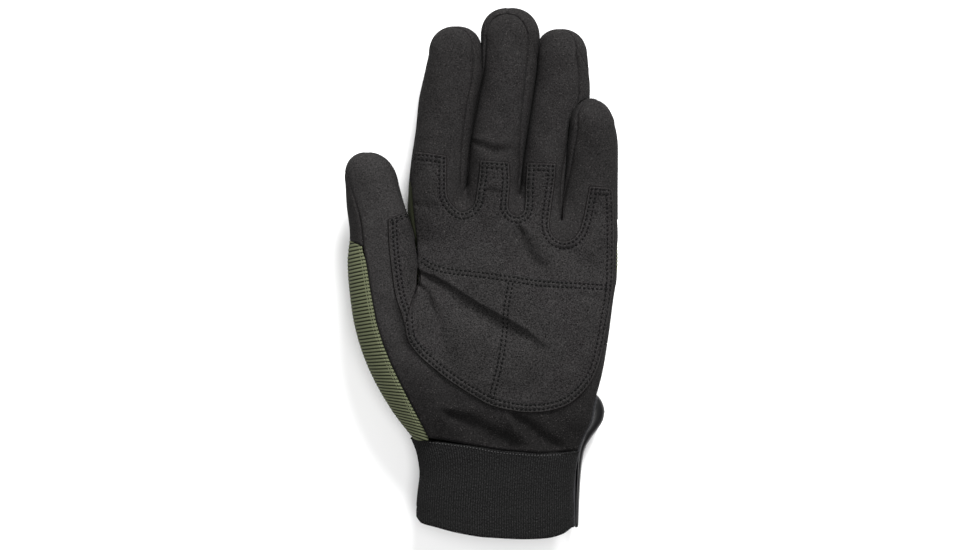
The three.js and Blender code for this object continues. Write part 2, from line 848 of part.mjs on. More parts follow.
const glove = new THREE.Group();
glove.name = 'tactical_glove';
glove.add(toMesh('palm_panel', palmPanel, SUEDE));
glove.add(toMesh('thumb_heel_panel', thumbHeel, SUEDE));
glove.add(toMesh('palm_overlay', palmOverlay, LAYER_SUEDE));
glove.add(toMesh('thumb_overlay', thumbOverlay, LAYER_SUEDE));
strips.forEach((item) => glove.add(toMesh(item.name, item.solid, SUEDE)));
fingerBacks.forEach((item) => glove.add(toMesh(item.name, item.solid, SUEDE)));
glove.add(toMesh('thumb_back', thumbBack, SUEDE));
glove.add(toMesh('back_panel', backPanel, STRETCH));
glove.add(toMesh('cuff_band', cuffBand, ELASTIC));
glove.add(toMesh('cuff_binding', cuffBinding, WEBBING));
glove.add(toMesh('closure_strap', closureStrap, WEBBING));
glove.add(toMesh('pull_tab', pullTab, RUBBER));

export default glove;
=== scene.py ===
import functools
import math

import bmesh
import bpy
import numpy as np
from bpy.props import FloatProperty, FloatVectorProperty, PointerProperty
from mathutils import Matrix, Vector


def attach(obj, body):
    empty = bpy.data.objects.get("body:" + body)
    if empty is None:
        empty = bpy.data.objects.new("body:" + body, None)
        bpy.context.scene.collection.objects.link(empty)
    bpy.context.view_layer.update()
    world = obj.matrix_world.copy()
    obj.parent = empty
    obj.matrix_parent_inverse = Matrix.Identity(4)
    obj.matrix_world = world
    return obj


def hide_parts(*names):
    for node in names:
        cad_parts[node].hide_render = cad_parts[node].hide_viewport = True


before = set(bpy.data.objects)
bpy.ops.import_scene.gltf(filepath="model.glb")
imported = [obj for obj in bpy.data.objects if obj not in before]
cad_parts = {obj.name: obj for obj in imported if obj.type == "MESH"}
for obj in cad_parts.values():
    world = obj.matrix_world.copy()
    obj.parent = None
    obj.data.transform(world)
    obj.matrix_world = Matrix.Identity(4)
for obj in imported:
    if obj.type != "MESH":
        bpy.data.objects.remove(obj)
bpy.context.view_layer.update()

bl_info = {
    "name": "Tactical glove",
    "version": (1, 0, 0),
    "blender": (4, 5, 0),
    "location": "View3D > Sidebar > Glove",
    "description": "Builds the cloth panels, stitching, cuff and tab of a left-hand work glove",
    "category": "Object",
}

MM = 0.001


# Forms of the hand, in millimetres: sections of each tube from its open end to its tip


def tube(cap, power, tip, rows):
    """A tube through superellipse sections given as y, left, right, bottom, top"""
    columns = zip(("y", "left", "right", "bottom", "top"), np.array(rows, float).T)
    return dict(columns, cap=cap, power=power, tip=tip)


INDEX = tube(2.3, 2.3, (-12, 113.5, 19.5), [
    (1.5, -26, -7.5, 1, 24),
    (20, -33.4, -7, 1, 26),
    (38.5, -33.8, -7.5, 1, 26),
    (52.5, -32.5, -6.5, 2.5, 26),
    (66, -30.5, -5, 4.5, 26.5),
    (80, -29, -2.5, 6.5, 27.5),
    (91.5, -26.5, 0, 8.5, 28.5),
    (100.5, -24.5, 0, 10, 29),
])
MIDDLE = tube(2.3, 2.3, (12.5, 122, 19.5), [
    (1.5, -6.5, 16.5, 1, 24),
    (20, -7.5, 18, 1, 26),
    (36, -7.5, 17.5, 1, 26),
    (50, -6.5, 18.5, 2.5, 26.5),
    (64, -5, 20.5, 4, 27),
    (77.5, -2.5, 22.5, 6, 27.5),
    (91.5, 0, 24.5, 8, 28),
    (108, -0.5, 26.5, 10.5, 28.5),
])
RING = tube(2.3, 2.3, (36, 112.5, 16.5), [
    (-0.5, 17.5, 37, 1, 23),
    (18, 17.5, 37.5, 1, 25),
    (36, 17.5, 38, 1, 25),
    (50, 18.5, 40, 2, 25),
    (64, 20.5, 43.5, 3, 25),
    (77.5, 22.5, 48.7, 4, 25),
    (91.5, 24.5, 49.2, 5.5, 25.5),
    (100.5, 25.3, 48.4, 7, 26),
])
LITTLE = tube(1.8, 2.3, (50, 80.2, 23.5), [
    (-5.5, 39, 57.5, 1, 22),
    (13, 37, 62.7, 1, 25),
    (27, 36.5, 62.6, 2, 25),
    (41, 38, 62.5, 4.5, 26),
    (52, 39, 62.5, 8, 28),
    (61.5, 39.5, 62.2, 11, 30),
    (68.4, 40.3, 60.9, 13.5, 31.5),
])
THUMB = tube(2.3, 2.3, (-52.5, 55.5, 26.5), [
    (-76.5, -31, -19.5, 8, 28),
    (-65, -40, -14.5, 5, 32),
    (-51, -48.5, -14.5, 3, 36),
    (-37.5, -54.5, -16.5, 3, 38),
    (-23.5, -58.5, -21, 4, 39.5),
    (-10, -60.5, -26, 6, 40),
    (6, -61.5, -29, 9, 39.5),
    (17.5, -60.5, -31, 11, 38.5),
    (31.5, -62, -35.5, 13.5, 37),
    (40.5, -62.5, -38, 15.5, 36.5),
])
PALM = tube(2.3, 2.6, (14, 41, 12), [
    (-135, -29, 42, 3, 34),
    (-111, -30, 42, 3, 32.5),
    (-99.5, -29.2, 42, 2.8, 31),
    (-90, -28.6, 42.5, 2.6, 30),
    (-82, -29.8, 44.2, 2.4, 30),
    (-75.5, -32.5, 46.2, 2.3, 30),
    (-68, -33.6, 50, 2.2, 31),
    (-60, -34.6, 51.7, 2.2, 32),
    (-46.5, -35, 55.4, -1, 34),
    (-30.5, -36, 58.2, -2, 35),
    (-12, -31, 60.7, -2, 34.5),
    (1.5, -30, 62.7, -2, 32.5),
    (18, -32, 62.7, -1, 28.5),
    (31.5, -32.5, 62.2, 1, 23),
    (36, -31, 60, 3, 20),
])
WIDE_PALM = dict(PALM, left=PALM["left"] - 14)
FINGERS = {"index": INDEX, "middle": MIDDLE, "ring": RING, "little": LITTLE}


def line(*points):
    return np.array(points, float)


# Lines where the fingers part, in plan
PART_INDEX_MIDDLE = line(
    (-8, -40), (-8.5, 38), (-7.5, 41), (-6, 49), (-5.5, 62), (-3, 76), (-0.5, 91), (0, 100.5), (-0.5, 109)
)
PART_MIDDLE_RING = line(
    (17, -40), (17, 35.5), (17.3, 42), (18.2, 48), (19.5, 59.5), (22, 76.5), (24.5, 93.5), (26.5, 108)
)
PART_RING_LITTLE = line(
    (36.5, -40), (36.5, 23.5), (36, 29), (36.5, 37), (37.5, 46.5), (39.5, 58.5), (40, 66.5), (41, 71.5),
    (43.5, 75), (46, 79), (49, 81),
)
PART_THUMB_PALM = line(
    (-34.2, -40), (-34.2, -25.5), (-34, -22), (-33, -17), (-31.1, -10.5), (-29.5, -5.6), (-29.2, 4),
    (-29.8, 10), (-30.9, 15.5), (-32.3, 20.5), (-34, 27.5), (-36, 42), (-37, 60),
)
PARTS = (PART_INDEX_MIDDLE, PART_MIDDLE_RING, PART_RING_LITTLE)
PART_GAP = 0.35
CROTCHES = {"index": 38.3, "middle": 35.6, "ring": 23.4}
# How softly the palm runs into the fingers and the thumb; the hollow beside the thumb: depth, place, reach
FINGER_BLEND, THUMB_BLEND = 5.0, 10.0
HOLLOW, HOLLOW_X, HOLLOW_Y, HOLLOW_WIDE, HOLLOW_LONG = 2.6, -31, 9, 15, 13

# How far each finger's front seams stand in from its edges: y, left, right
SEAMS = {
    "index": line(
        (20, 3.2, 2), (28, 2.4, 2), (38, 1.5, 2), (46, 0.5, 2.2), (57, 0.3, 2.9), (63, 0.15, 3),
        (81, 0.15, 3.6), (100, 0.15, 4.2),
    ),
    "middle": line(
        (20, 0.15, 0.5), (50, 0.15, 0.6), (71, 0.15, 3.4), (89, 0.15, 4), (103, 1.6, 4.6), (107, 2.2, 4.8)
    ),
    "ring": line((20, 0.15, 0.5), (60, 0.15, 1), (78, 0.15, 4.6), (98, 0.15, 4.8), (101, 0.15, 5)),
    "little": line((14, 0.4, 0.4), (40, 0.8, 0.3), (57, 2.6, 0.15), (66, 3.4, 0.15)),
}
# Where the arch of each front seam begins, and its top
ARCHES = {
    "index": (101, (-13.5, 113)),
    "middle": (106, (11, 119)),
    "ring": (100.5, (35.5, 112)),
    "little": (66, (50.8, 79.8)),
}
# Roundness of the seams over the fingertips, and depth of the side strips' back seams below a tube's widest
TIP_POWER = 2.3
BACK_SEAM = 3.5
BACK_START = {"index": 40, "middle": 41, "ring": 39, "little": 25}
STRIP_END = {"index": 108, "middle": 112, "ring": 106, "little": 75}

THUMB_SEAM = line(
    (-24.5, -75), (-27.5, -69), (-31.5, -61.5), (-37, -50.5), (-41.5, -41), (-45, -32), (-48, -22),
    (-50.5, -8.5), (-52, 1.5), (-53.8, 12), (-55, 22), (-57, 30), (-59, 36.5), (-60.5, 42), (-61.6, 46),
)
CUFF_SEAM = line(
    (-40, -73.5), (-31.5, -74.5), (-23.5, -76), (-5.5, -78.2), (8, -80.5), (22, -81.7), (35.5, -81.7),
    (47, -80.7), (60, -80),
)
HEEL_LINE = line(
    (-30.2, -7), (-31, -15), (-31.8, -25), (-28.5, -31.5), (-19, -41.5), (-5.5, -51), (10.5, -57.5),
    (24, -58.5), (36.5, -56), (44, -52.5), (49.5, -46.5), (53, -39.5), (55.2, -33.5),
)
CUFF_HEM = line(
    (-40, -111), (-30.5, -111), (-28.5, -113), (-26, -115.2), (-19, -117), (-12, -118.8), (-1, -120.8),
    (8, -121.5), (17.5, -122), (26.8, -121.9), (32.3, -121.3), (36.9, -120), (39.2, -118.7), (40.9, -117.5),
    (43.5, -116.8), (60, -116.5),
)

# The second layer on the palm: smooth stretches of its outline between corners
OVERLAY_OUTLINE = [
    line((-31, 56), (-24, 55.2), (-16, 54)),
    line(
        (-16, 54), (-16, 40.5), (-15.5, 35), (-13, 31), (-9.5, 28.5), (-6, 29.5), (-3.5, 32.5), (-2.5, 38),
        (-1.5, 45), (-1, 52),
    ),
    line((-1, 52), (12.5, 51)),
    line(
        (12.5, 51), (13, 42.5), (12.5, 36), (12.2, 30), (14.6, 27), (18.3, 27.5), (19.6, 31.5), (19.8, 40.5),
        (20.5, 50.8),
    ),
    line((20.5, 50.8), (34, 50.5)),
    line(
        (34, 50.5), (33.5, 42.5), (32, 31.5), (31, 22), (32.5, 17.5), (36, 15), (40.5, 15.5), (44, 19),
        (46, 24.5), (47.5, 31.5), (49, 40),
    ),
    line((49, 40), (58.5, 39.5)),
    line(
        (58.5, 39.5), (60.3, 37), (60.8, 24), (60.8, 10.5), (60.3, -5.5), (58.8, -16.5), (57, -26), (55, -37),
        (52, -46), (47, -53.5), (40, -59.5), (32, -62.5), (22, -63.5), (13, -62.5), (3.5, -60), (-5.5, -55),
        (-15.5, -48.5), (-23.5, -42), (-28.5, -37.5), (-32, -33.3), (-33.7, -30.5), (-34.7, -26.5),
        (-35, -23.2),
    ),
    line((-35, -23.2), (-33.9, -20.5), (-32.7, -17), (-30.9, -10.5), (-29.3, -5.9)),
    line(
        (-29.3, -5.9), (-28.5, -5), (-28.2, -2), (-28.4, 0.8), (-29.4, 3.5), (-29.6, 9.8), (-30, 16),
        (-30.7, 22), (-31.3, 29), (-32, 37), (-32.2, 44), (-31.8, 50), (-31, 56),
    ),
]
# Its stretches along the crease and the thumb carry no stitches
UNSTITCHED = (8, 9)
# The second layer beside the thumb, between two lines that run up from its narrow tip
THUMB_LAYER = [
    line(
        (-35.1, -23.6), (-35.9, -20.6), (-37.2, -16.6), (-39.4, -9.3), (-40.8, 0.2), (-41.7, 7.5),
        (-42.3, 14), (-42.6, 20), (-42.6, 24.5),
    ),
    line(
        (-34.9, -23.4), (-34.1, -20.5), (-33, -17), (-31.2, -10.5), (-29.7, -5.9), (-29.5, -2), (-29.3, 1),
        (-29.2, 5.2), (-29.8, 9.8), (-30.8, 15.2), (-32.3, 20), (-33.4, 25), (-34.3, 28.2),
    ),
]
# How far the thumb layer's rows stand from its long edge and its top
THUMB_ROWS = (2.2, 3.9)
THUMB_TOP_ROWS = (0.9, 2.2)
# Quilting lines across and down the palm layer
QUILT_ACROSS = line(
    (-27.5, 5), (-22.5, 2), (-14.5, 0), (-1, -1.5), (13, -3.5), (26.5, -5.5), (42.5, -6.5), (58.5, -7.3)
)
QUILT_DOWN = line((12, -4.5), (10, -16.5), (9.5, -25.5), (7.5, -39.5), (3.5, -56))

TAB = tube(2.0, 2.2, (49.5, -54.9, 8), [
    (-117.6, 42.6, 44.7, 5, 11),
    (-105, 42.6, 45.1, 5, 11.5),
    (-94, 43, 45.7, 5, 11.5),
    (-86, 43, 46.6, 5, 11.5),
    (-81, 43, 47.8, 5, 11.5),
    (-76.6, 43, 50.2, 5, 11.5),
    (-72, 43, 53.6, 5, 12),
    (-68, 43, 56, 5, 12),
    (-64, 43.4, 56.8, 5, 12),
])

# Slight unevenness of the filled cloth: depth, waves across and along, start
WAVES = ((0.22, 0.21, 0.13, 0.6), (0.18, 0.17, -0.24, 2.1), (0.12, 0.43, 0.31, 4.0), (0.09, 0.38, -0.52, 1.2))
# Folds pressed into the palm side: depth, width of its left and right flank along the line (with a minus
# for a flank that breaks off sharply at its upper edge), rise beside it, on which side (1 left), and the line
FOLDS = [
    (3.6, -3.6, 5.8, 0.3, -1, line(
        (-31.5, 1.6), (-27.8, -0.1), (-24.4, -1.7), (-21, -3.5), (-15.6, -7.4), (-10.4, -11.6), (-4.5, -15.7),
        (2, -19.4), (8.5, -22.8), (14.9, -26.4), (20.9, -30.4), (25.3, -34.1), (30.8, -37.5),
    )),
    (1.7, 2.1, 2.8, 0.2, -1, line((-30, -4.5), (-26, -8), (-24.4, -12), (-23.6, -16), (-23, -20))),
    (2.7, 3.0, 4.4, 0.6, 1, line(
        (-20, -61.5), (-15.5, -63.9), (-5.7, -68.1), (6.8, -74.5), (21, -79.9), (27, -82.5),
    )),
    (3.1, 2.8, 3.6, 1.0, -1, line(
        (12.5, -62.5), (15.5, -64.8), (19.5, -68.6), (24, -72.4), (29.5, -76.5), (36, -80), (41, -83),
    )),
    (2.1, 3.2, 3.6, 1.2, 1, line((16, 24), (18, 15), (22, 7), (28, 0), (30, -2))),
    (1.0, 3.0, 3.5, 0.3, 1, line((33, 12), (41, 9.5), (49, 4), (57, -2))),
    (1.0, 1.6, 2.2, 1.2, 1, line((-6, 62), (-2, 59.5), (3, 57), (8, 56), (14, 57.5))),
    (1.3, 8.0, 5.0, 0.0, 1, line((-34, 14.5), (-27, 13.5), (-18, 12.5), (-8, 13.5), (2, 17.5), (8, 20))),
    (0.6, 1.5, 1.5, 0.4, 1, line((0, 38), (5, 37), (10, 36))),
    (0.8, 2.5, 2.5, 0.4, 1, line((-31, 31), (-26, 31), (-20, 30))),
    (0.7, 1.8, 1.8, 0.4, 1, line((43, -9), (49, -11), (55, -12))),
    (1.9, 2.5, 4.5, 0.0, 1, line((-41, -9), (-39.5, -16), (-37.8, -24), (-35.5, -32), (-30, -39))),
]


# Smooth values and lines


def along(xs, values, x):
    """Smooth value of a column at x, held at its ends"""
    slopes = np.diff(values) / np.diff(xs)
    tangents = np.concatenate([slopes[:1], (slopes[:-1] + slopes[1:]) / 2, slopes[-1:]])
    x = np.clip(x, xs[0], xs[-1])
    i = np.clip(np.searchsorted(xs, x, side="right") - 1, 0, len(xs) - 2)
    span = xs[i + 1] - xs[i]
    t = (x - xs[i]) / span
    rise = values[i + 1] - values[i]
    start = tangents[i] * span
    end = tangents[i + 1] * span
    return values[i] + t * (start + t * (3 * rise - 2 * start - end + t * (start + end - 2 * rise)))


def smoothstep(low, high, x):
    t = np.clip((x - low) / (high - low), 0, 1)
    return t * t * (3 - 2 * t)


def across_at(path, y):
    """x of a line that runs up the glove, at y"""
    return np.interp(y, path[:, 1], path[:, 0])


def run_lengths(path):
    """Length of a path up to each of its points"""
    return np.concatenate([[0], np.cumsum(np.linalg.norm(np.diff(path, axis=0), axis=1))])


def spaced(path, step=None, count=None):
    """Points at even distances along a path"""
    lengths = run_lengths(path)
    if count is None:
        count = max(2, round(lengths[-1] / step) + 1)
    at = np.linspace(0, lengths[-1], count)
    return np.column_stack([np.interp(at, lengths, column) for column in path.T])


def smooth_line(points, step):
    """An even curve through the points"""
    if len(points) == 2:
        return spaced(points, step)
    p = np.vstack([2 * points[0] - points[1], points, 2 * points[-1] - points[-2]])
    t = np.linspace(0, 1, 12, endpoint=False)[:, None]
    runs = []
    for i in range(1, len(p) - 2):
        a, b, c, d = p[i - 1 : i + 3]
        bend = (2 * a - 5 * b + 4 * c - d) * t**2
        runs.append(0.5 * (2 * b + (c - a) * t + bend + (3 * b - a - 3 * c + d) * t**3))
    return spaced(np.vstack([*runs, points[-1:]]), step)


def path_distance(points, path):
    """Distance of each plan point from a path, its side (1 on the left) and how far along it lies, 0 to 1"""
    a = path[:-1]
    d = path[1:] - a
    square = (d**2).sum(1)
    best = np.full(len(points), np.inf)
    side = np.zeros(len(points))
    share = np.zeros(len(points))
    for i in range(len(a)):
        rel = points - a[i]
        t = np.clip(rel @ d[i] / square[i], 0, 1)
        gap = np.linalg.norm(rel - t[:, None] * d[i], axis=1)
        near = gap < best
        best[near] = gap[near]
        side[near] = np.sign(d[i, 0] * rel[near, 1] - d[i, 1] * rel[near, 0])
        share[near] = (i + t[near]) / len(a)
    return best, side, share


def is_inside(points, ring):
    """Which plan points lie within a closed ring"""
    inside = np.zeros(len(points), bool)
    for a, b in zip(ring, np.roll(ring, -1, 0)):
        if a[1] == b[1]:
            continue
        spans = (a[1] > points[:, 1]) != (b[1] > points[:, 1])
        inside ^= spans & (points[:, 0] < (b[0] - a[0]) * (points[:, 1] - a[1]) / (b[1] - a[1]) + a[0])
    return inside


# The form of the glove


def section(form, y, grow=0.0):
    """Centre and half sizes of a tube at y; past its last row it closes to the tip"""
    y = np.asarray(y, float)
    cap_y = form["y"][-1]
    t = np.clip((y - cap_y) / (form["tip"][1] + grow - cap_y), 0, 1)
    scale = (1 - t ** form["cap"]) ** (1 / form["cap"])
    left, right, bottom, top = (along(form["y"], form[k], y) for k in ("left", "right", "bottom", "top"))
    x = (left + right) / 2 * (1 - t) + form["tip"][0] * t
    z = (bottom + top) / 2 * (1 - t) + form["tip"][2] * t
    wide, high = (np.maximum((size / 2 + grow) * scale, 1e-3) for size in (right - left, top - bottom))
    return x, z, wide, high


def within(form, x, y, z, grow=0.0, slim=0.0):
    """Which points lie inside a tube"""
    cx, cz, wide, high = section(form, y, grow)
    power = form["power"]
    return np.abs((x - cx) / (wide - slim)) ** power + np.abs((z - cz) / high) ** power < 1


def on_tube(form, y, angle, grow=0.0):
    """Point of a tube's section at an angle, 0 to the right and 90 degrees on top"""
    x, z, wide, high = section(form, y, grow)
    power = 2 / form["power"]
    c, s = np.cos(angle), np.sin(angle)
    return np.stack([
        x + wide * np.sign(c) * np.abs(c) ** power,
        np.broadcast_to(y, np.shape(angle)) + 0 * c,
        z + high * np.sign(s) * np.abs(s) ** power,
    ], -1)


def crown(form, x, y, grow=0.0, sign=1):
    """Height of a tube's upper side over a plan point (sign -1: its underside)"""
    cx, cz, wide, high = section(form, y, grow)
    across = np.abs(x - cx) / wide
    share = np.clip(1 - np.minimum(across, 1) ** form["power"], 0, 1)
    return cz + sign * (high * share ** (1 / form["power"]) - 3 * np.maximum(across - 1, 0) * wide)


def soft_max(a, b, blend):
    """The larger value, rounded over where the two are close"""
    blend = np.maximum(blend, 1e-6)
    near = np.maximum(blend - np.abs(a - b), 0) / blend
    return np.maximum(a, b) + near * near * blend / 4


# A fold's rise beside it, in widths of its flank: how far off, and how wide
RIDGE_AWAY, RIDGE_WIDE = 2.2, 1.3


def fold_height(x, y):
    """Height that the folds add at a plan point"""
    points = np.column_stack([x, y])
    total = np.zeros(len(points))
    for depth, left, right, rise, side, path in FOLDS:
        gap, on, share = path_distance(points, smooth_line(path, 2))
        fade = np.clip(np.minimum(share * 8, (1 - share) * 4), 0, 1)
        width = np.where(on > 0, left, right) * (0.3 + 0.7 * smoothstep(0, 0.4, share))
        valley = np.where(width < 0, np.clip(1 - (gap / width) ** 2, 0, 1), np.exp(-((gap / width) ** 2)))
        ridge = np.exp(-(((gap - RIDGE_AWAY * width) / (RIDGE_WIDE * width)) ** 2)) * (on * side > 0)
        total += fade * (rise * ridge - depth * valley)
    return total


def waviness(x, y):
    """Height that the cloth's unevenness adds at a plan point"""
    return sum(depth * np.sin(a * x + b * y + start) for depth, a, b, start in WAVES)


def which_finger(x, y):
    """0 to 3 for index to little, by the lines where they part"""
    return sum((x > across_at(path, y)).astype(int) for path in PARTS)


def front(x, y, grow=0.0, shift=0.0):
    """Height of the palm side over plan points; shift moves the line that parts the thumb from the palm, so
    that each panel keeps to its own side where the two lie close"""
    x, y = np.asarray(x, float), np.asarray(y, float)
    finger = np.choose(which_finger(x, y), [crown(form, x, y, grow) for form in FINGERS.values()])
    hand = soft_max(crown(PALM, x, y, grow), finger, FINGER_BLEND)
    thumb = crown(THUMB, x, y, grow)
    joined = soft_max(hand, thumb, THUMB_BLEND)
    # the palm stays level up to the crease beside the thumb and rolls down further up
    rolls = smoothstep(2, 22, y)
    level = hand * rolls + crown(WIDE_PALM, x, y, grow) * (1 - rolls)
    apart = smoothstep(-25, -7, y)
    by_thumb = x < across_at(PART_THUMB_PALM, y) + shift
    z = np.where(by_thumb, thumb, level) * apart + joined * (1 - apart)
    bent = fold_height(x.ravel(), y.ravel()).reshape(x.shape)
    sunk = HOLLOW * np.exp(-(((x - HOLLOW_X) / HOLLOW_WIDE) ** 2) - ((y - HOLLOW_Y) / HOLLOW_LONG) ** 2)
    share = np.where(by_thumb, 0.1 + 0.9 * smoothstep(-8, -20, y), 1)
    return z + waviness(x, y) + share * bent - np.where(by_thumb, 0, sunk)


def by_palm(x, y, grow=0.0):
    return front(x, y, grow, shift=-2.0)


def by_heel(x, y, grow=0.0):
    return front(x, y, grow, shift=2.0)


def surface_normal(surface, x, y, grow):
    """Upward normals of a height over plan points"""
    step = 0.4
    dx = (surface(x + step, y, grow) - surface(x - step, y, grow)) / (2 * step)
    dy = (surface(x, y + step, grow) - surface(x, y - step, grow)) / (2 * step)
    normal = np.column_stack([-dx, -dy, np.ones(len(x))])
    return normal / np.linalg.norm(normal, axis=1, keepdims=True)


def seam_x(name, side, y):
    """x of a finger's front seam at y, closing over the arch"""
    form = FINGERS[name]
    rows = SEAMS[name]
    start, top = ARCHES[name]

    def edge(which, sign, column, at):
        return along(form["y"], form[which], at) + sign * np.interp(at, rows[:, 0], rows[:, column])

    low = np.minimum(y, start)
    left, right = edge("left", 1, 1, low), edge("right", -1, 2, low)
    if name == "ring":
        right = np.minimum(right, across_at(PART_RING_LITTLE, low) - PART_GAP + 9 * smoothstep(74, 82, low))
    if name == "middle":
        right = np.minimum(right, across_at(PART_MIDDLE_RING, low) - PART_GAP)
    t = np.clip((y - start) / (top[1] - start), 0, 1)
    half = (right - left) / 2 * (1 - t**TIP_POWER) ** (1 / TIP_POWER)
    middle = (left + right) / 2 * (1 - t) + top[0] * t
    return middle - half if side == "left" else middle + half


def arch_rows(name, low, step):
    """y of even rows up a finger's front seam, close together near the top of its arch"""
    start, top = ARCHES[name]
    run = np.arange(low, start, step)
    turn = np.linspace(0, math.pi / 2, 14)
    return np.concatenate([run, start + (top[1] - start) * np.sin(turn) ** (2 / TIP_POWER)])


def finger_seam(name, low_left, low_right):
    """Plan line up a finger's left seam, over the arch and down the right one"""
    up, down = arch_rows(name, low_left, 2.0), arch_rows(name, low_right, 2.0)[::-1]
    left = np.column_stack([seam_x(name, "left", up), up])
    right = np.column_stack([seam_x(name, "right", down), down])
    return np.vstack([left, right[1:]])


def edge_angle(form, y, x, grow=0.0):
    """Angle on a tube's section of the upper-side point at x"""
    cx, _, wide, _ = section(form, y, grow)
    across = np.clip((x - cx) / wide, -1, 1)
    return np.arccos(np.sign(across) * np.abs(across) ** (form["power"] / 2))


# Meshes


def grid_places(verts, columns, rows):
    """Each vertex of a new grid, 2 wide, with its row and column"""
    for vert in verts:
        yield vert, round((vert.co.y + 1) / 2 * (rows - 1)), round((vert.co.x + 1) / 2 * (columns - 1))


def grid_mesh(points, cloth=None, weld=0.0):
    """A sheet of quads through rows of points in millimetres; cloth gives each point's place on the flat
    cloth, and points closer than weld are made one"""
    rows, columns = points.shape[:2]
    bm = bmesh.new()
    bmesh.ops.create_grid(bm, x_segments=columns - 1, y_segments=rows - 1, size=1)
    layer = bm.verts.layers.float_vector.new("cloth") if cloth is not None else None
    for vert, row, column in grid_places(bm.verts, columns, rows):
        vert.co = Vector(points[row, column]) * MM
        if layer is not None:
            vert[layer] = Vector((*cloth[row, column], 0.0))
    if weld:
        bmesh.ops.remove_doubles(bm, verts=bm.verts, dist=weld)
    return bm


def grid_normals(points):
    normal = np.cross(np.gradient(points, axis=1), np.gradient(points, axis=0))
    return normal / np.maximum(np.linalg.norm(normal, axis=2, keepdims=True), 1e-9)


def offset_line(path, distance):
    """A plan line moved to its right"""
    tangent = np.gradient(path, axis=0)
    tangent /= np.linalg.norm(tangent, axis=1, keepdims=True)
    return path + distance * np.column_stack([tangent[:, 1], -tangent[:, 0]])


def meeting(first, second, corner, reach):
    """Where one offset line meets the next, near their corner: the one up to there, the place and the rest"""
    a_way, b_way = first[-1] - first[-2], second[1] - second[0]
    a = np.vstack([first, first[-1] + reach * a_way / np.linalg.norm(a_way)])
    b = np.vstack([second[0] - reach * b_way / np.linalg.norm(b_way), second])
    found = []
    for i in range(max(0, len(a) - 50), len(a) - 1):
        for j in range(min(50, len(b) - 1)):
            (px, py), (rx, ry) = a[i], a[i + 1] - a[i]
            (qx, qy), (sx, sy) = b[j], b[j + 1] - b[j]
            cross = rx * sy - ry * sx
            if abs(cross) < 1e-12:
                continue
            t = ((qx - px) * sy - (qy - py) * sx) / cross
            u = ((qx - px) * ry - (qy - py) * rx) / cross
            if -1e-9 <= t <= 1 + 1e-9 and -1e-9 <= u <= 1 + 1e-9:
                point = a[i] + t * (a[i + 1] - a[i])
                found.append((np.linalg.norm(point - corner), i, j, point))
    if not found:
        return first[:-1], (first[-1] + second[0]) / 2, second[1:]
    _, i, j, point = min(found, key=lambda row: row[0])
    return a[: i + 1], point, b[j + 1 :]


def inset_ring(outline, distances):
    """The outline's stretches moved inwards (it runs clockwise) and cut or lengthened to meet"""
    distances = np.broadcast_to(distances, len(outline))
    moved = [offset_line(path, reach) for path, reach in zip(outline, distances)]
    if distances.max() > 0:
        ends = []
        for k, path in enumerate(outline):
            n = (k + 1) % len(moved)
            moved[k], corner, moved[n] = meeting(moved[k], moved[n], path[-1], 1 + 3 * distances.max())
            ends.append(corner)
        moved = [np.vstack([ends[k - 1], path, ends[k]]) for k, path in enumerate(moved)]
    return np.vstack([spaced(path, count=len(own))[:-1] for path, own in zip(moved, outline)])


def cut_panel(outline, insets, pitch, step):
    """A flat panel cut to a clockwise outline: even rings along its edge, square lattice inside.
    Returns the bmesh with plan coordinates in millimetres"""
    outline = [smooth_line(path, step) for path in outline]
    rings = [inset_ring(outline, d) for d in insets]
    count = len(rings[0])
    bm = bmesh.new()
    bmesh.ops.create_grid(bm, x_segments=count, y_segments=len(rings) - 1, size=1)
    inner = []
    for vert, row, column in grid_places(bm.verts, count + 1, len(rings)):
        vert.co = Vector((*rings[row][column % count], 0))
        if row == len(rings) - 1:
            inner.append(vert)
    bmesh.ops.remove_doubles(bm, verts=bm.verts, dist=1e-5)
    inner = {v for v in inner if v.is_valid}
    last = rings[-1]
    low, high = last.min(0), last.max(0)
    cells = np.maximum(np.round((high - low) / pitch).astype(int), 1)
    made = bmesh.ops.create_grid(bm, x_segments=int(cells[0]), y_segments=int(cells[1]), size=1)["verts"]
    flat = low + (np.array([v.co for v in made])[:, :2] + 1) / 2 * (high - low)
    keep = is_inside(flat, last)
    gap, _, _ = path_distance(flat[keep], np.vstack([last, last[:1]]))
    keep[np.flatnonzero(keep)[gap < 0.5 * pitch]] = False
    for vert, place in zip(made, flat):
        vert.co = Vector((*place, 0))
    loose = [v for v, stays in zip(made, keep) if not stays]
    lattice = [v for v, stays in zip(made, keep) if stays]
    while loose:
        bmesh.ops.delete(bm, geom=loose, context="VERTS")
        lattice = [v for v in lattice if v.is_valid]
        loose = [v for v in lattice if not v.link_faces or sum(e.is_boundary for e in v.link_edges) > 2]
    sides = (set(lattice), inner)
    rims = [e for e in bm.edges if e.is_boundary and any(all(v in side for v in e.verts) for side in sides)]
    bmesh.ops.triangle_fill(bm, use_beauty=True, use_dissolve=False, edges=rims, normal=(0, 0, 1))
    for face in bm.faces:
        face.normal_update()
        if face.normal.z < 0:
            face.normal_flip()
    return bm, rings[0]


def strip_panel(sides, columns, step):
    """A flat panel between two lines. Returns the bmesh, in plan and in millimetres, and its outline"""
    count = round(np.linalg.norm(np.diff(sides[0], axis=0), axis=1).sum() / step)
    left, right = (spaced(smooth_line(side, 0.5), count=count) for side in sides)
    share = (1 - np.cos(np.linspace(0, math.pi, columns))) / 2 * 0.4 + np.linspace(0, 1, columns) * 0.6
    flat = left[:, None] * (1 - share[:, None]) + right[:, None] * share[:, None]
    bm = grid_mesh(np.dstack([flat, 0 * flat[..., :1]]))
    for vert in bm.verts:
        vert.co /= MM
    return bm, np.vstack([left, right[::-1]])


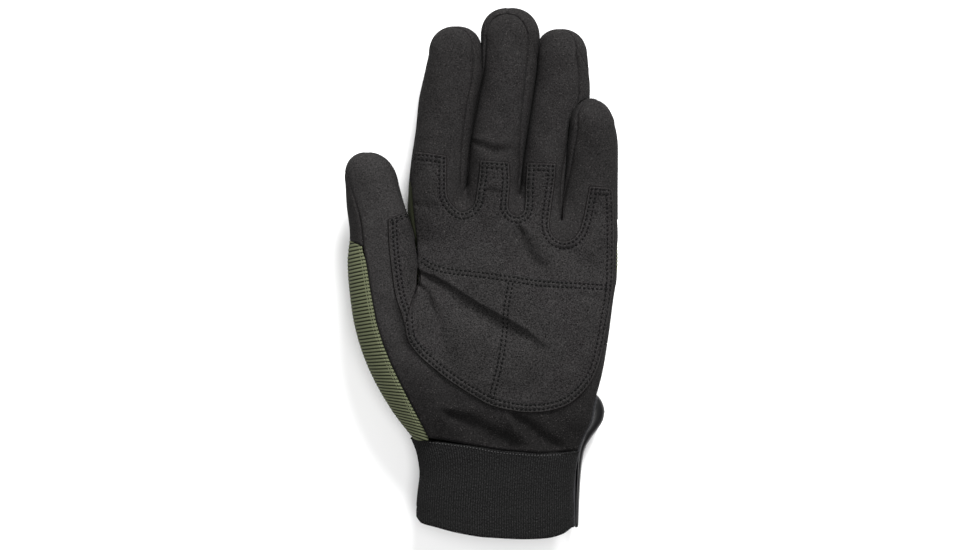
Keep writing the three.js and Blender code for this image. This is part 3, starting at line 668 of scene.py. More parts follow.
def lay_panel(bm, ring, height, painted_edge_lines=None):
    """Puts a flat panel on the form; height takes x, y and the distance from the panel's edge. The distance
    is kept on the mesh for the painted shadow line and painted highlight along the edge, made larger away
    from the lines given so that they show only there"""
    flat = np.array([v.co for v in bm.verts])[:, :2]
    gap, _, _ = path_distance(flat, np.vstack([ring, ring[:1]]))
    z = height(flat[:, 0], flat[:, 1], gap)
    if painted_edge_lines:
        layer = bm.verts.layers.float.new("edge")
        away = np.min([path_distance(flat, path)[0] for path in painted_edge_lines], 0)
        for vert, cut in zip(bm.verts, gap + 3 * smoothstep(2.6, 3.4, away)):
            vert[layer] = cut
    for vert, place, level in zip(bm.verts, flat, z):
        vert.co = Vector((*place, level)) * MM


def turn_down(bm, across, up, reach):
    """Carries the edge of a panel down between two plan limits, to close the side beside it"""
    edges = [
        e for e in bm.edges
        if e.is_boundary
        and all(across[0] < v.co.x / MM < across[1] and up[0] < v.co.y / MM < up[1] for v in e.verts)
    ]
    made = bmesh.ops.extrude_edge_only(bm, edges=edges)["geom"]
    for vert in made:
        if isinstance(vert, bmesh.types.BMVert):
            y = vert.co.y / MM
            vert.co += Vector(reach) * MM * float(np.clip(min((up[1] - y) / 8, (y - up[0]) / 3), 0.03, 1))


def finish_piece(name, bm, cloth, nodes=(), thick=0.0):
    """Makes the object of a finished mesh: its cloth thickness, finish and body, and hides the model's parts
    that it stands for
    """
    mesh = bpy.data.meshes.new(name)
    bm.to_mesh(mesh)
    bm.free()
    mesh.shade_smooth()
    piece = bpy.data.objects.new(name, mesh)
    bpy.context.scene.collection.objects.link(piece)
    mesh.materials.append(finish(cloth))
    if thick:
        wall = piece.modifiers.new("cloth thickness", "SOLIDIFY")
        wall.thickness = thick * MM
        wall.offset = -1
    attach(piece, "root")
    if nodes:
        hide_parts(*nodes)
    return piece


def join_meshes(parts):
    """One bmesh from several"""
    joined = parts[0]
    for part in parts[1:]:
        mesh = bpy.data.meshes.new("part")
        part.to_mesh(mesh)
        part.free()
        joined.from_mesh(mesh)
        bpy.data.meshes.remove(mesh)
    return joined


def stitch_row(bm, path, pitch, length, lift, surface, grow=0.0, sink=0.0, width=0.42):
    """Short threads, each a low rounded bead, laid along a plan line on a surface, sunk below it and then
    lifted along its normal"""
    spots = spaced(path, pitch)
    normals = surface_normal(surface, spots[:, 0], spots[:, 1], grow)
    levels = surface(spots[:, 0], spots[:, 1], grow) - sink
    for spot, level, way, up in zip(spots, levels, np.gradient(spots, axis=0), normals):
        up = Vector(up)
        side = up.cross(Vector((*way, 0))).normalized()
        turn = Matrix((side.cross(up).normalized() * length / 2, side * width, up * 0.6 * width))
        place = Matrix.Translation((Vector((*spot, level)) + up * lift) * MM) @ Matrix.Scale(MM, 4)
        bead = bmesh.ops.create_icosphere(bm, subdivisions=1, radius=1)["verts"]
        bmesh.ops.transform(bm, matrix=place @ turn.transposed().to_4x4(), verts=bead)


# Finishes


def srgb(code):
    """Linear colour of an sRGB hex value"""
    parts = [int(code[i : i + 2], 16) / 255 for i in (1, 3, 5)]
    return tuple(c / 12.92 if c <= 0.04045 else ((c + 0.055) / 1.055) ** 2.4 for c in parts)


def add(tree, kind, inputs=(), out=0, **settings):
    """One node with its settings, and its inputs by name or in order as links, values or colours; gives one
    of its outputs"""
    node = tree.nodes.new("ShaderNode" + kind)
    for key, value in settings.items():
        setattr(node, key, value)
    for key, value in inputs.items() if isinstance(inputs, dict) else enumerate(inputs):
        socket = node.inputs[key]
        if isinstance(value, bpy.types.NodeSocket):
            tree.links.new(value, socket)
        else:
            socket.default_value = (*value, 1) if socket.type == "RGBA" else value
    return node.outputs[out]


def new_material(name, roughness, specular):
    material = bpy.data.materials.new(name)
    material.use_nodes = True
    shader = material.node_tree.nodes["Principled BSDF"]
    shader.inputs["Roughness"].default_value = roughness
    shader.inputs["Specular IOR Level"].default_value = specular
    return material, material.node_tree, shader


def dress(tree, shader, colour, relief, distance, strength):
    """Gives a shader its colour, and a relief in metres as bump"""
    if isinstance(colour, bpy.types.NodeSocket):
        tree.links.new(colour, shader.inputs["Base Color"])
    else:
        shader.inputs["Base Color"].default_value = (*colour, 1)
    bump = add(tree, "Bump", {"Height": relief, "Distance": distance, "Strength": strength})
    tree.links.new(bump, shader.inputs["Normal"])


def suede(name, dark, light, fleck, grain_depth=0.72, painted_shade=None, cut=None):
    """Synthetic suede: a microfibre face, its nap raised by brushing. The eye sees soft matt charcoal,
    mottled where the nap lies differently, with a fine grain and a few pale flecks of fibre. The tone is
    scaled along the glove as painted shade, and along a cut edge lies a painted shadow line with a painted
    highlight beside it"""
    material, tree, shader = new_material(name, 0.95, 0.04)
    place = add(tree, "TexCoord", out="Object")
    # nap patches about 9 mm across
    nap = add(tree, "TexNoise", {"Vector": place, "Scale": 110.0, "Detail": 3.0, "Roughness": 0.6})
    # grain of 0.6 mm, drawn coarser than the real 0.1 mm fibres so that it shows
    grain = add(tree, "TexNoise", {"Vector": place, "Scale": 1650.0, "Detail": 3.0, "Roughness": 0.65})
    fibre = add(tree, "TexNoise", {"Vector": place, "Scale": 2300.0, "Detail": 0.0})
    ground = add(tree, "Mix", {"Factor": nap, "A": dark, "B": light}, "Result", data_type="RGBA")
    shade = add(tree, "MapRange", (grain, 0.3, 0.7, 1 - grain_depth, 1 + grain_depth))
    toned = add(tree, "VectorMath", {0: ground, "Scale": shade}, operation="SCALE")
    # painted shade: the tone is scaled by a ramp along the glove's length
    if painted_shade:
        y = add(tree, "SeparateXYZ", (place,), "Y")
        tone = add(tree, "MapRange", (y, *painted_shade), interpolation_type="SMOOTHSTEP")
        toned = add(tree, "VectorMath", {0: toned, "Scale": tone}, operation="SCALE")
    share = add(tree, "MapRange", (fibre, 0.72, 0.84))
    colour = add(tree, "Mix", {"Factor": share, "A": toned, "B": fleck}, "Result", data_type="RGBA")
    # painted shadow and highlight along the layer's edge: a dark line right at the edge for the shade under
    # it, a paler band just inside for the rounded edge catching the light
    if cut:
        gap = add(tree, "Attribute", out="Fac", attribute_name="edge")
        shadow = tuple(c * 0.15 for c in dark)
        for near, far, most, tone in ((0.4, 0.85, 0.32, cut), (0.2, 0.42, 0.85, shadow)):
            share = add(tree, "MapRange", (gap, near, far, most, 0.0))
            colour = add(tree, "Mix", {"Factor": share, "A": colour, "B": tone}, "Result", data_type="RGBA")
    dress(tree, shader, colour, grain, 0.00025, 0.7)
    return material


def rib_wave(tree, coordinate, pitch):
    """0 in the grooves and 1 on the ribs of a ribbed cloth"""
    turned = add(tree, "Math", (coordinate, math.pi / pitch), operation="MULTIPLY")
    return add(tree, "Math", (add(tree, "Math", (turned,), operation="SINE"),), operation="ABSOLUTE")


def stretch_cloth(name, groove, ridge, pitch):
    """Corded stretch cloth: soft yarn ribs over an elastic ground. The eye sees sage ridges between dark
    grooves, their dark partly the ground's own colour and partly painted shade, with a fine twist of threads
    along each rib"""
    material, tree, shader = new_material(name, 0.9, 0.05)
    cloth = add(tree, "Attribute", out="Vector", attribute_name="cloth")
    along_rib = add(tree, "SeparateXYZ", (cloth,), "X")
    rib = rib_wave(tree, along_rib.node.outputs["Y"], pitch)
    # thread twist every 0.6 mm along a rib
    twist = rib_wave(tree, along_rib, 0.6)
    grain = add(tree, "TexNoise", {"Vector": cloth, "Scale": 1.6, "Detail": 3.0})
    # grooves painted darker than the ribs: partly the ground's colour, partly painted shade in the hollows
    share = add(tree, "MapRange", (rib, 0.3, 0.9))
    tone = add(tree, "Mix", {"Factor": share, "A": groove, "B": ridge}, "Result", data_type="RGBA")
    shade = add(tree, "MapRange", {0: grain, "To Min": 0.75, "To Max": 1.25})
    colour = add(tree, "VectorMath", {0: tone, "Scale": shade}, operation="SCALE")
    dress(tree, shader, colour, add(tree, "Math", (twist, rib), operation="MULTIPLY"), 0.0001, 0.5)
    return material


def elastic(name, dark, light, pitch):
    """Woven elastic: covered rubber threads in close ribs. The eye sees near-black fine lines with grey
    flecks where the yarn catches light"""
    material, tree, shader = new_material(name, 0.9, 0.05)
    cloth = add(tree, "Attribute", out="Vector", attribute_name="cloth")
    rib = rib_wave(tree, add(tree, "SeparateXYZ", (cloth,), "X"), pitch)
    stretched = add(tree, "Mapping", {"Vector": cloth, "Scale": (2.1, 0.9, 1.0)})
    fleck = add(tree, "TexNoise", {"Vector": stretched, "Scale": 1.5, "Detail": 4.0, "Roughness": 0.75})
    share = add(tree, "MapRange", (fleck, 0.44, 0.64))
    lit = add(tree, "Math", (share, rib), operation="MULTIPLY")
    colour = add(tree, "Mix", {"Factor": lit, "A": dark, "B": light}, "Result", data_type="RGBA")
    dress(tree, shader, colour, lit, 0.0002, 0.7)
    return material


def webbing(name, dark, light):
    """Nylon webbing: flat plain weave. The eye sees a close dull black grid of yarns 0.8 mm wide"""
    material, tree, shader = new_material(name, 0.8, 0.1)
    place = add(tree, "TexCoord", out="Object")
    yarn = add(tree, "TexChecker", {"Vector": place, "Scale": 1250.0, "Color1": dark, "Color2": light})
    dress(tree, shader, yarn, yarn.node.outputs["Fac"], 0.00015, 0.5)
    return material


def plain(name, tone, roughness, specular, grain, detail, strength):
    """One colour under a fine grain"""
    material, tree, shader = new_material(name, roughness, specular)
    place = add(tree, "TexCoord", out="Object")
    relief = add(tree, "TexNoise", {"Vector": place, "Scale": grain, "Detail": detail})
    dress(tree, shader, tone, relief, 0.00005, strength)
    return material


def moulded_rubber(name, tone):
    """Injection-moulded rubber: satin skin with soft broad highlights and a faint eggshell grain"""
    return plain(name, tone, 0.32, 0.34, 1800.0, 2.0, 0.3)


def thread(name, tone):
    """Bonded nylon thread: dark and a little shiny on top of each stitch"""
    return plain(name, tone, 0.6, 0.05, 2500.0, 1.0, 0.4)


def length_prop(name, text, default):
    return FloatProperty(name=name, description=text, default=default, unit="LENGTH")


class GloveSizes(bpy.types.PropertyGroup):
    """Sizes of the cloth and its stitching"""

    wall: length_prop("Cloth", "Thickness of a cloth panel", 0.0012)
    layer: length_prop("Layer", "Thickness of the second layer", 0.0009)
    layer_lift: length_prop("Layer lift", "Top of the second layer over the cloth below", 0.0013)
    stitch_pitch: length_prop("Stitch pitch", "Distance from stitch to stitch", 0.002)
    stitch_length: length_prop("Stitch", "Length of one stitch", 0.0015)
    row_outer: length_prop("Outer row", "Outer stitch row's distance from the edge", 0.0014)
    row_inner: length_prop("Inner row", "Inner stitch row's distance from the edge", 0.0035)
    rib_pitch: length_prop("Rib pitch", "Distance between ribs of the stretch cloth", 0.0016)
    rib_height: length_prop("Rib height", "Height of the ribs of the stretch cloth", 0.0003)
    cuff_pitch: length_prop("Cuff rib pitch", "Distance between ribs of the cuff elastic", 0.0011)


def colour_prop(name, code, text):
    return FloatVectorProperty(name=name, description=text, subtype="COLOR", default=srgb(code))


class GloveColours(bpy.types.PropertyGroup):
    """Colours of the cloths"""

    suede: colour_prop("Suede", "#1a1919", "Ground of the synthetic suede")
    suede_light: colour_prop("Suede, raised nap", "#232222", "Where the nap of the suede stands up")
    layer: colour_prop("Layer suede", "#1d1c1c", "Ground of the second layer's suede")
    layer_light: colour_prop("Layer suede, raised nap", "#262525", "Where the second layer's nap stands up")
    # painted light: the thumb and heel's suede is the same cloth as the finger suede, set a little lighter so
    # that the thumb shows brighter
    heel: colour_prop("Heel suede", "#1f1e1e", "Ground of the thumb and heel's suede")
    heel_light: colour_prop("Heel suede, raised nap", "#282727", "Where the thumb and heel's nap stands up")
    # painted highlight: the paler tone along the second layer's edge stands in for its rounded edge catching
    # the light
    edge_highlight: colour_prop("Edge highlight", "#343231", "Painted highlight along the second layer's edge")
    fleck: colour_prop("Flecks", "#403e3d", "Pale fibres in the suede")
    # the groove tone is partly the ground's colour and partly painted shade between the ribs
    olive_groove: colour_prop("Stretch cloth grooves", "#13150e", "Ground between the ribs")
    olive_ridge: colour_prop("Stretch cloth ribs", "#5b5f49", "Top of the ribs")
    cuff: colour_prop("Cuff", "#080808", "Ground of the cuff elastic")
    cuff_light: colour_prop("Cuff flecks", "#333333", "Yarn of the cuff elastic that catches light")
    web: colour_prop("Webbing", "#1f1f21", "Closure strap and folded edge")
    rubber: colour_prop("Rubber", "#070708", "Moulded tab")
    thread: colour_prop("Thread", "#0a0a0a", "Stitches")
    olive_thread: colour_prop("Olive thread", "#6d7158", "Stitches along the stretch cloth")
    pale_thread: colour_prop("Grey thread", "#484848", "Stitches along the top of the cuff")


FINISHES = {}


def finish(name):
    """The glove's materials, made once"""
    if not FINISHES:
        tones = bpy.context.scene.glove_colours
        sizes = bpy.context.scene.glove_sizes
        # painted shade ramps: the thumb and heel's suede darkens toward the wrist, the palm layer's toward
        # the fingers
        heel_painted_shade, layer_painted_shade = (-0.075, -0.02, 0.45, 1.04), (-0.02, 0.03, 1.04, 0.88)
        FINISHES.update({
            "suede": suede("synthetic_suede", tones.suede, tones.suede_light, tones.fleck),
            "heel_suede": suede(
                "synthetic_suede_heel", tones.heel, tones.heel_light, tones.fleck, painted_shade=heel_painted_shade
            ),
            "layer_suede": suede(
                "synthetic_suede_layer", tones.layer, tones.layer_light, tones.fleck, 1.0, layer_painted_shade,
                tones.edge_highlight,
            ),
            "stretch": stretch_cloth(
                "corded_stretch_cloth", tones.olive_groove, tones.olive_ridge, sizes.rib_pitch / MM
            ),
            "elastic": elastic("woven_elastic", tones.cuff, tones.cuff_light, sizes.cuff_pitch / MM),
            "webbing": webbing("nylon_webbing", tones.web, tuple(c * 1.7 for c in tones.web)),
            "rubber": moulded_rubber("moulded_rubber", tones.rubber),
            "thread": thread("bonded_thread", tones.thread),
            "pale_thread": thread("grey_thread", tones.pale_thread),
            "olive_thread": thread("olive_thread", tones.olive_thread),
        })
    return FINISHES[name]


# Panels


def rolled(gap, depth=1.15, width=0.55):
    """How far a seamed edge turns down, by the distance from it"""
    return depth * np.exp(-((gap / width) ** 2))


PANEL_INSETS = [0, 0.1, 0.28, 0.55, 0.9, 1.35, 1.9, 2.6, 3.4, 4.3]
LAYER_INSETS = [0, 0.12, 0.32, 0.62, 1.0, 1.4, 1.8, 2.25, 2.7, 3.1, 3.5, 3.9, 4.4]


def right_edge(y):
    """Plan points of the front's edge down the little finger's side of the palm and wrist"""
    return np.column_stack([along(PALM["y"], PALM["right"], y) - 0.3, y])


def palm_edge(y):
    """x of the palm and heel panels' outer edge at y"""
    by_hand = right_edge(np.array([min(y, -2.0)]))[0, 0]
    by_finger = float(seam_x("little", "right", np.array(max(y, 12.0))))
    return by_finger if y > 12 else by_hand + (by_finger - by_hand) * (max(y, -2.0) + 2) / 14


def palm_outline():
    """Palm and finger fronts in plan, clockwise from the thumb crotch up the index finger"""
    run = np.vstack([
        line((-29.9, -6), (-29.1, -4.5), (-29.1, 1), (-29.8, 4), (-30.1, 12), (-30.7, 20)),
        finger_seam("index", 26, 43),
        line((-9.0, 40), (-8.4, 38.8), (-7.7, 39.8)),
        finger_seam("middle", 43, 40),
        line((16.8, 36.8), (17.1, 36), (17.5, 37)),
        finger_seam("ring", 40, 30),
        line((36.0, 25), (36.4, 24), (37.0, 25)),
        finger_seam("little", 28, 12),
        right_edge(np.linspace(-2, -32, 8)),
    ])
    return [run, np.vstack([run[-1], HEEL_LINE[::-1], run[:1]])]


def thumb_tip_line():
    """Plan line of the thumb's front from its left seam over the tip and down its right side"""
    start = 44.0
    turn = np.linspace(0.25, math.pi / 2, 14)
    rise = start + (55.4 - start) * np.sin(turn) ** (2 / TIP_POWER)
    cx, _, wide, _ = section(THUMB, rise)
    left = np.column_stack([cx - wide + 0.12, rise])
    right = np.column_stack([cx + wide - 0.12, rise])[::-1]
    low = np.arange(rise[0] - 1.5, 28, -1.5)
    cx, _, wide, _ = section(THUMB, low)
    side_x = np.minimum(cx + wide - 0.12, across_at(PART_THUMB_PALM, low) - PART_GAP)
    return np.vstack([left, right[1:], np.column_stack([side_x, low])])


def heel_outline():
    """Thumb front and heel in plan, clockwise from the cuff up the thumb's left seam"""
    up = np.vstack([
        THUMB_SEAM,
        thumb_tip_line(),
        line((-34.4, 27.3), (-32.6, 20.5), (-31, 15), (-29.95, 9.8), (-29.4, 4), (-29.6, -1), (-29.9, -6)),
    ])
    heel = HEEL_LINE + np.array([-0.2, -0.2])
    side = right_edge(np.linspace(-32.4, -81.1, 16))
    cuff = CUFF_SEAM[(CUFF_SEAM[:, 0] > -20) & (CUFF_SEAM[:, 0] < 41)][::-1]
    cuff = np.vstack([side[-1], cuff, up[:1]])
    return [up, np.vstack([up[-1], heel[1:], side[0]]), side, cuff]


class BuildPalm(bpy.types.Operator):
    """Palm panel with the finger fronts, and the thumb and heel panel"""

    bl_idname = "glove.palm"
    bl_label = "Palm and thumb fronts"

    def execute(self, context):
        wall = context.scene.glove_sizes.wall / MM

        bm, ring = cut_panel(palm_outline(), PANEL_INSETS, 1.1, 0.9)
        lay_panel(bm, ring, lambda x, y, gap: by_palm(x, y) - rolled(gap))
        turn_down(bm, (-33, -28), (-6.5, 24), (0.5, 0, -7))
        finish_piece("palm_panel_cloth", bm, "suede", ["palm_panel"], wall)
        bm, ring = cut_panel(heel_outline(), PANEL_INSETS, 1.0, 0.9)
        lay_panel(bm, ring, lambda x, y, gap: by_heel(x, y) - rolled(gap))
        turn_down(bm, (-35, -27.5), (-6.5, 28), (-0.8, 0, -8.5))
        finish_piece("thumb_heel_cloth", bm, "heel_suede", ["thumb_heel_panel"], wall)
        return {"FINISHED"}


def quilt_rows():
    """Both rows of each quilting line"""
    rows = []
    for path, gap in ((QUILT_ACROSS, 1.95), (QUILT_DOWN, 1.9)):
        smooth = smooth_line(path, 1.0)
        rows += [smooth, offset_line(smooth, -gap)]
    return rows


def stitch_lines(name):
    """Outer and inner row of a second layer's double stitching, as pairs of plan lines"""
    if name == "thumb":
        side, other = (smooth_line(path, 0.5) for path in THUMB_LAYER)
        rows = [offset_line(side, row) for row in THUMB_ROWS]
        top = spaced(np.array([side[-1], other[-1]]), 0.5)
        rows = [path[path[:, 0] < across_at(other, path[:, 1])] for path in rows]
        for end, clear in ((other, 0.6), (top, 2.4)):
            rows = [path[path_distance(path, end)[0] > clear] for path in rows]
        return [
            rows,
            [offset_line(top, row)[3:-2] for row in THUMB_TOP_ROWS],
        ]
    sizes = bpy.context.scene.glove_sizes
    rows = (sizes.row_outer / MM, sizes.row_inner / MM)
    smooth = [smooth_line(path, 0.55) for path in OVERLAY_OUTLINE]
    pairs = []
    rings = [
        inset_ring(smooth, [0.4 if k in UNSTITCHED else row for k in range(len(smooth))])
        for row in rows
    ]
    start = 0
    for k, path in enumerate(smooth):
        end = start + len(path) - 1
        if k not in UNSTITCHED:
            pairs.append([ring[np.arange(start, end + 1) % len(ring)] for ring in rings])
        start = end
    return pairs


def layer_height(surface, lift, pairs, quilted, pitch):
    """Height of a second layer: rounded edge, quilting, and stitch rows that pinch the cloth at each stitch
    and leave a ridge between the two rows"""

    def pinched(spots, path):
        away, _, share = path_distance(spots, path)
        length = np.linalg.norm(np.diff(path, axis=0), axis=1).sum()
        beat = np.cos(2 * math.pi * share * max(1, round(length / pitch)))
        return away, (0.3 + 0.24 * beat) * np.exp(-((away / 0.45) ** 2))

    def height(x, y, gap):
        spots = np.column_stack([x, y])
        edge = np.clip(1 - gap / 0.9, 0, 1)
        z = surface(x, y, lift) - 0.75 * (1 - np.sqrt(1 - edge**2))
        dents, raised = [pinched(spots, path)[1] for path in quilted], 0 * x
        for outer, inner in pairs:
            (first, outer_dent), (second, inner_dent) = pinched(spots, outer), pinched(spots, inner)
            dents += [outer_dent, inner_dent]
            ridge = np.exp(-(((first + second - 2.1) / 0.5) ** 2) - ((first - second) / 1.0) ** 2)
            raised = np.maximum(raised, ridge)
        return z + 0.22 * raised - np.max(dents, 0)

    return height


class BuildLayers(bpy.types.Operator):
    """Second layer of suede over the palm and beside the thumb"""

    bl_idname = "glove.layers"
    bl_label = "Second layers"

    def execute(self, context):
        sizes = context.scene.glove_sizes
        lift, pitch = sizes.layer_lift / MM, sizes.stitch_pitch / MM
        for name, panel, surface, quilted in (
            ("palm", cut_panel(OVERLAY_OUTLINE, LAYER_INSETS, 0.6, 0.55), by_palm, quilt_rows()),
            ("thumb", strip_panel(THUMB_LAYER, 36, 0.5), by_heel, []),
        ):
            pairs = stitch_lines(name)
            # the painted edge shadow and highlight show along the stitch rows and along the short line by the
            # thumb crotch slot, which carries no stitches
            painted_edge_lines = [row for pair in pairs for row in pair] + [line((-29, -5), (-29, 0))]
            lay_panel(*panel, layer_height(surface, lift, pairs, quilted, pitch), painted_edge_lines)
            thick = sizes.layer / MM
            finish_piece(f"{name}_layer_cloth", panel[0], "layer_suede", [f"{name}_overlay"], thick)
        return {"FINISHED"}


class BuildStitches(bpy.types.Operator):
    """Double stitch rows round the second layers and the quilting"""

    bl_idname = "glove.stitches"
    bl_label = "Stitches"

    def execute(self, context):
        sizes = context.scene.glove_sizes
        pitch, length, lift = sizes.stitch_pitch / MM, sizes.stitch_length / MM, sizes.layer_lift / MM
        for name, surface, quilted in (("palm", by_palm, quilt_rows()), ("thumb", by_heel, [])):
            bm = bmesh.new()
            for path in [row for pair in stitch_lines(name) for row in pair] + quilted:
                stitch_row(bm, path, pitch, length, 0.1, surface, grow=lift, sink=0.3, width=0.5)
            finish_piece(f"{name}_stitches", bm, "thread")
        # a row under the cuff's top fold, and two along the stretch cloth beside the thumb's front
        bm = bmesh.new()
        path = CUFF_SEAM[(CUFF_SEAM[:, 0] > -25) & (CUFF_SEAM[:, 0] < 41)] - np.array([0, 1.15])
        on_cuff = functools.partial(crown, PALM)
        stitch_row(bm, smooth_line(path, 0.75), pitch * 0.7, length * 0.55, 0.45, on_cuff, 0.45, width=0.2)
        finish_piece("cuff_stitches", bm, "pale_thread")
        bm = bmesh.new()
        seam = smooth_line(THUMB_SEAM[1:-5], 0.5)
        on_thumb = functools.partial(crown, THUMB)
        for inset in (0.9, 2.0):
            row = seam - np.array([inset, 0])
            stitch_row(bm, row, sizes.rib_pitch / MM, length * 0.75, 0.1, on_thumb, width=0.16)
        finish_piece("stretch_stitches", bm, "olive_thread")
        return {"FINISHED"}


# Sides and backs of the fingers


def tube_sheet(form, rows, start, end, count, grow=0.0, roll=(0.0, 0.0), plump=0.0):
    """Rows of points round a tube from one angle to another; roll turns its two long edges in and plump
    swells the cloth between them"""
    spread = np.linspace(0, 1, count)
    spread = (spread + (1 - np.cos(math.pi * spread)) / 2) / 2
    angle = start[:, None] + (end - start)[:, None] * spread
    y = np.broadcast_to(rows[:, None], angle.shape)
    points = on_tube(form, y, angle, grow)
    normals = grid_normals(points)
    centre = np.stack([*np.broadcast_arrays(*(c for c in section(form, y)[:2]))], -1)
    outward = np.stack([points[..., 0] - centre[..., 0], 0 * y, points[..., 2] - centre[..., 1]], -1)
    if (normals * outward).sum() < 0:
        normals = -normals
    rise = plump * np.sin(math.pi * spread)[None, :] ** 0.6
    for edge, depth in ((0, roll[0]), (-1, roll[1])):
        gap = np.linalg.norm(points - points[:, edge : edge + 1 if edge == 0 else None], axis=2)
        rise = rise - rolled(gap, depth)
    points = points + normals * rise[..., None]
    points[..., 2] = np.maximum(points[..., 2], 0.05)
    return points


# The cloth in a crotch: rows, how far it sags and how far it stays under the palm's surface
WEB_ROWS, WEB_SAG, WEB_CLEAR = 25, 1.2, 1.1


def web_sheet(first, second, y):
    """The cloth that closes a finger crotch: rows between the facing sides of two tubes at y"""
    angle = np.linspace(-math.pi / 2, math.pi * 0.36, WEB_ROWS)
    grow = np.where(np.arange(WEB_ROWS) == 0, 0.2, -1.4)
    left = on_tube(FINGERS[first], y + 0 * angle, angle, grow)
    right = on_tube(FINGERS[second], y + 0 * angle, math.pi - angle, grow)
    share = np.linspace(0, 1, 7)[None, :, None]
    points = left[:, None] * (1 - share) + right[:, None] * share
    points[..., 1] -= WEB_SAG * np.sin(math.pi * share[..., 0])
    under = by_palm(points[..., 0].ravel(), points[..., 1].ravel()).reshape(points.shape[:2]) - WEB_CLEAR
    points[..., 2] = np.clip(np.minimum(points[..., 2], under), 0.6, None)
    return points


def back_angles(name, rows):
    """Angles of the front seams at each row, left and right; past the arch they meet on top"""
    form = FINGERS[name]
    top = ARCHES[name][1]
    capped = np.minimum(rows, top[1] - 0.02)
    left = edge_angle(form, capped, seam_x(name, "left", capped))
    right = edge_angle(form, capped, seam_x(name, "right", capped))
    return left, right


def strip_angles(name, side, rows):
    """Angle of a side strip's back edge, rising to the front seam at the strip's end"""
    form = FINGERS[name]
    left, right = back_angles(name, rows)
    _, _, wide, _ = section(form, rows)
    drop = np.arccos(np.clip(1 - BACK_SEAM / wide, 0, 1) ** (form["power"] / 2))
    taper = smoothstep(STRIP_END[name] - 30, STRIP_END[name], rows)
    if side == "right":
        return -drop * (1 - taper) + right * taper
    return (math.pi + drop) * (1 - taper) + left * taper


def lean_off(points, name):
    """Presses the ring finger's side flat where the little finger lies against it"""
    if name != "ring":
        return points
    cx, cz, wide, high = section(LITTLE, points[..., 1], 0.5)
    up = np.clip(np.abs(points[..., 2] - cz) / high, 0, 1)
    edge = cx - wide * (1 - up ** LITTLE["power"]) ** (1 / LITTLE["power"])
    near = (points[..., 1] < 80.5) & (up < 1) & (points[..., 1] > 20)
    points[..., 0] = np.where(near, np.minimum(points[..., 0], edge), points[..., 0])
    return points


STRIPS = [("index", "middle"), ("middle", "ring"), ("ring", "little")]


class BuildSides(bpy.types.Operator):
    """Side strips between the fingers and the suede backs of fingers and thumb"""

    bl_idname = "glove.sides"
    bl_label = "Finger sides and backs"

    def execute(self, context):
        wall = context.scene.glove_sizes.wall / MM
        for first, second in STRIPS:
            low = CROTCHES[first] - 2
            parts = [grid_mesh(web_sheet(first, second, low + 0.6)[:, ::-1])]
            for name, side in ((second, "left"), (first, "right")):
                rows = np.linspace(low, STRIP_END[name] - 0.5, 60)
                left, right = back_angles(name, rows)
                back = strip_angles(name, side, rows)
                ends, roll = ((back, right), (0.25, 0.9)) if side == "right" else ((left, back), (0.9, 0.25))
                points = lean_off(tube_sheet(FINGERS[name], rows, *ends, 16, roll=roll, plump=0.45), name)
                parts.insert(0, grid_mesh(points[:, ::-1]))
            strip = f"fourchette_{first}_{second}"
            finish_piece(f"{strip}_cloth", join_meshes(parts), "suede", [strip], wall)
        for name, form in FINGERS.items():
            start, (_, top) = ARCHES[name]
            over = top + (form["tip"][1] - top) * np.sin(np.linspace(0, math.pi / 2, 8)[1:])
            rows = np.concatenate([np.arange(BACK_START[name], start, 1.5), arch_rows(name, start, 1), over])
            left, right = back_angles(name, rows)
            if name != "index":
                left = strip_angles(name, "left", rows)
            if name != "little":
                right = strip_angles(name, "right", rows)
            below = rows <= top
            middle = (left[below][-1] + right[below][-1]) / 2
            left, right = (np.where(below, edge, middle) for edge in (left, right))
            points = tube_sheet(form, rows, left, right + 2 * math.pi, 56, roll=(0.4, 0.4), plump=0.2)
            bm = grid_mesh(lean_off(points, name)[:, ::-1], weld=2e-5)
            finish_piece(f"{name}_back_cloth", bm, "suede", [f"{name}_finger_back"], wall)
        return {"FINISHED"}


# Olive back, thumb back


def rib_slant(y):
    """How much the ribs of the thumb strip rise from left to right"""
    return np.interp(y, [-72, -58, -44, -30, -8, 8, 14], [-0.34, -0.14, 0.04, 0.14, 0.2, 0.2, 0.14])


def back_boundary(x, z, base, start, end):
    """How much lower the top of the olive cloth lies beside the thumb's front seam than on its outer side"""
    return np.interp(x, [-61, -54], [0, 3.2]) * smoothstep(24, 30, z) * smoothstep(start, end, base)


# How much narrower the olive cloth is than the tubes, so that it stays inside the front's turned edge
TUCK = 0.45


def hull_rows(rows, forms, centre, begins, ends, count):
    """Rows of points round the underside of several tubes together; begins and ends tell which points lie
    past the right and the left seam"""
    angle = np.linspace(math.pi * 0.5, -math.pi * 1.5, 721)
    y = rows[:, None] + 0 * angle
    cx, cz = centre
    low, high = np.zeros(y.shape), np.full(y.shape, 90.0)
    for _ in range(24):
        middle = (low + high) / 2
        x, z = cx + middle * np.cos(angle), cz + middle * np.sin(angle)
        inside = (np.abs(z - cz) < 6) & (np.abs(x - cx) < 20)
        for form in forms:
            inside |= within(form, x, y, z, slim=TUCK) & (y >= form["y"][0])
        low, high = np.where(inside, middle, low), np.where(inside, high, middle)
    x, z = cx + low * np.cos(angle), np.maximum(cz + low * np.sin(angle), 0.0)
    plan = []
    for i, at in enumerate(rows):
        right = np.flatnonzero(begins(x[i], z[i], at) & (angle > -math.pi / 2))
        left = np.flatnonzero(ends(x[i], z[i], at) & (angle < -math.pi / 2))
        first = right[-1] if len(right) else 0
        last = left[0] if len(left) else len(angle) - 1
        plan.append(spaced(np.column_stack([x[i], z[i]])[first : last + 1], count=count))
    plan = np.array(plan)
    return np.stack([plan[..., 0], y[:, :count], plan[..., 1]], -1)


def ribbed(points, across, pitch, height):
    """Raises ribs on a sheet; across is each point's distance along the cloth, square to the ribs"""
    normals = grid_normals(points)
    wave = np.abs(np.sin(math.pi * across / pitch)) ** 0.7
    return points + normals * (height * (wave - 0.6))[..., None]


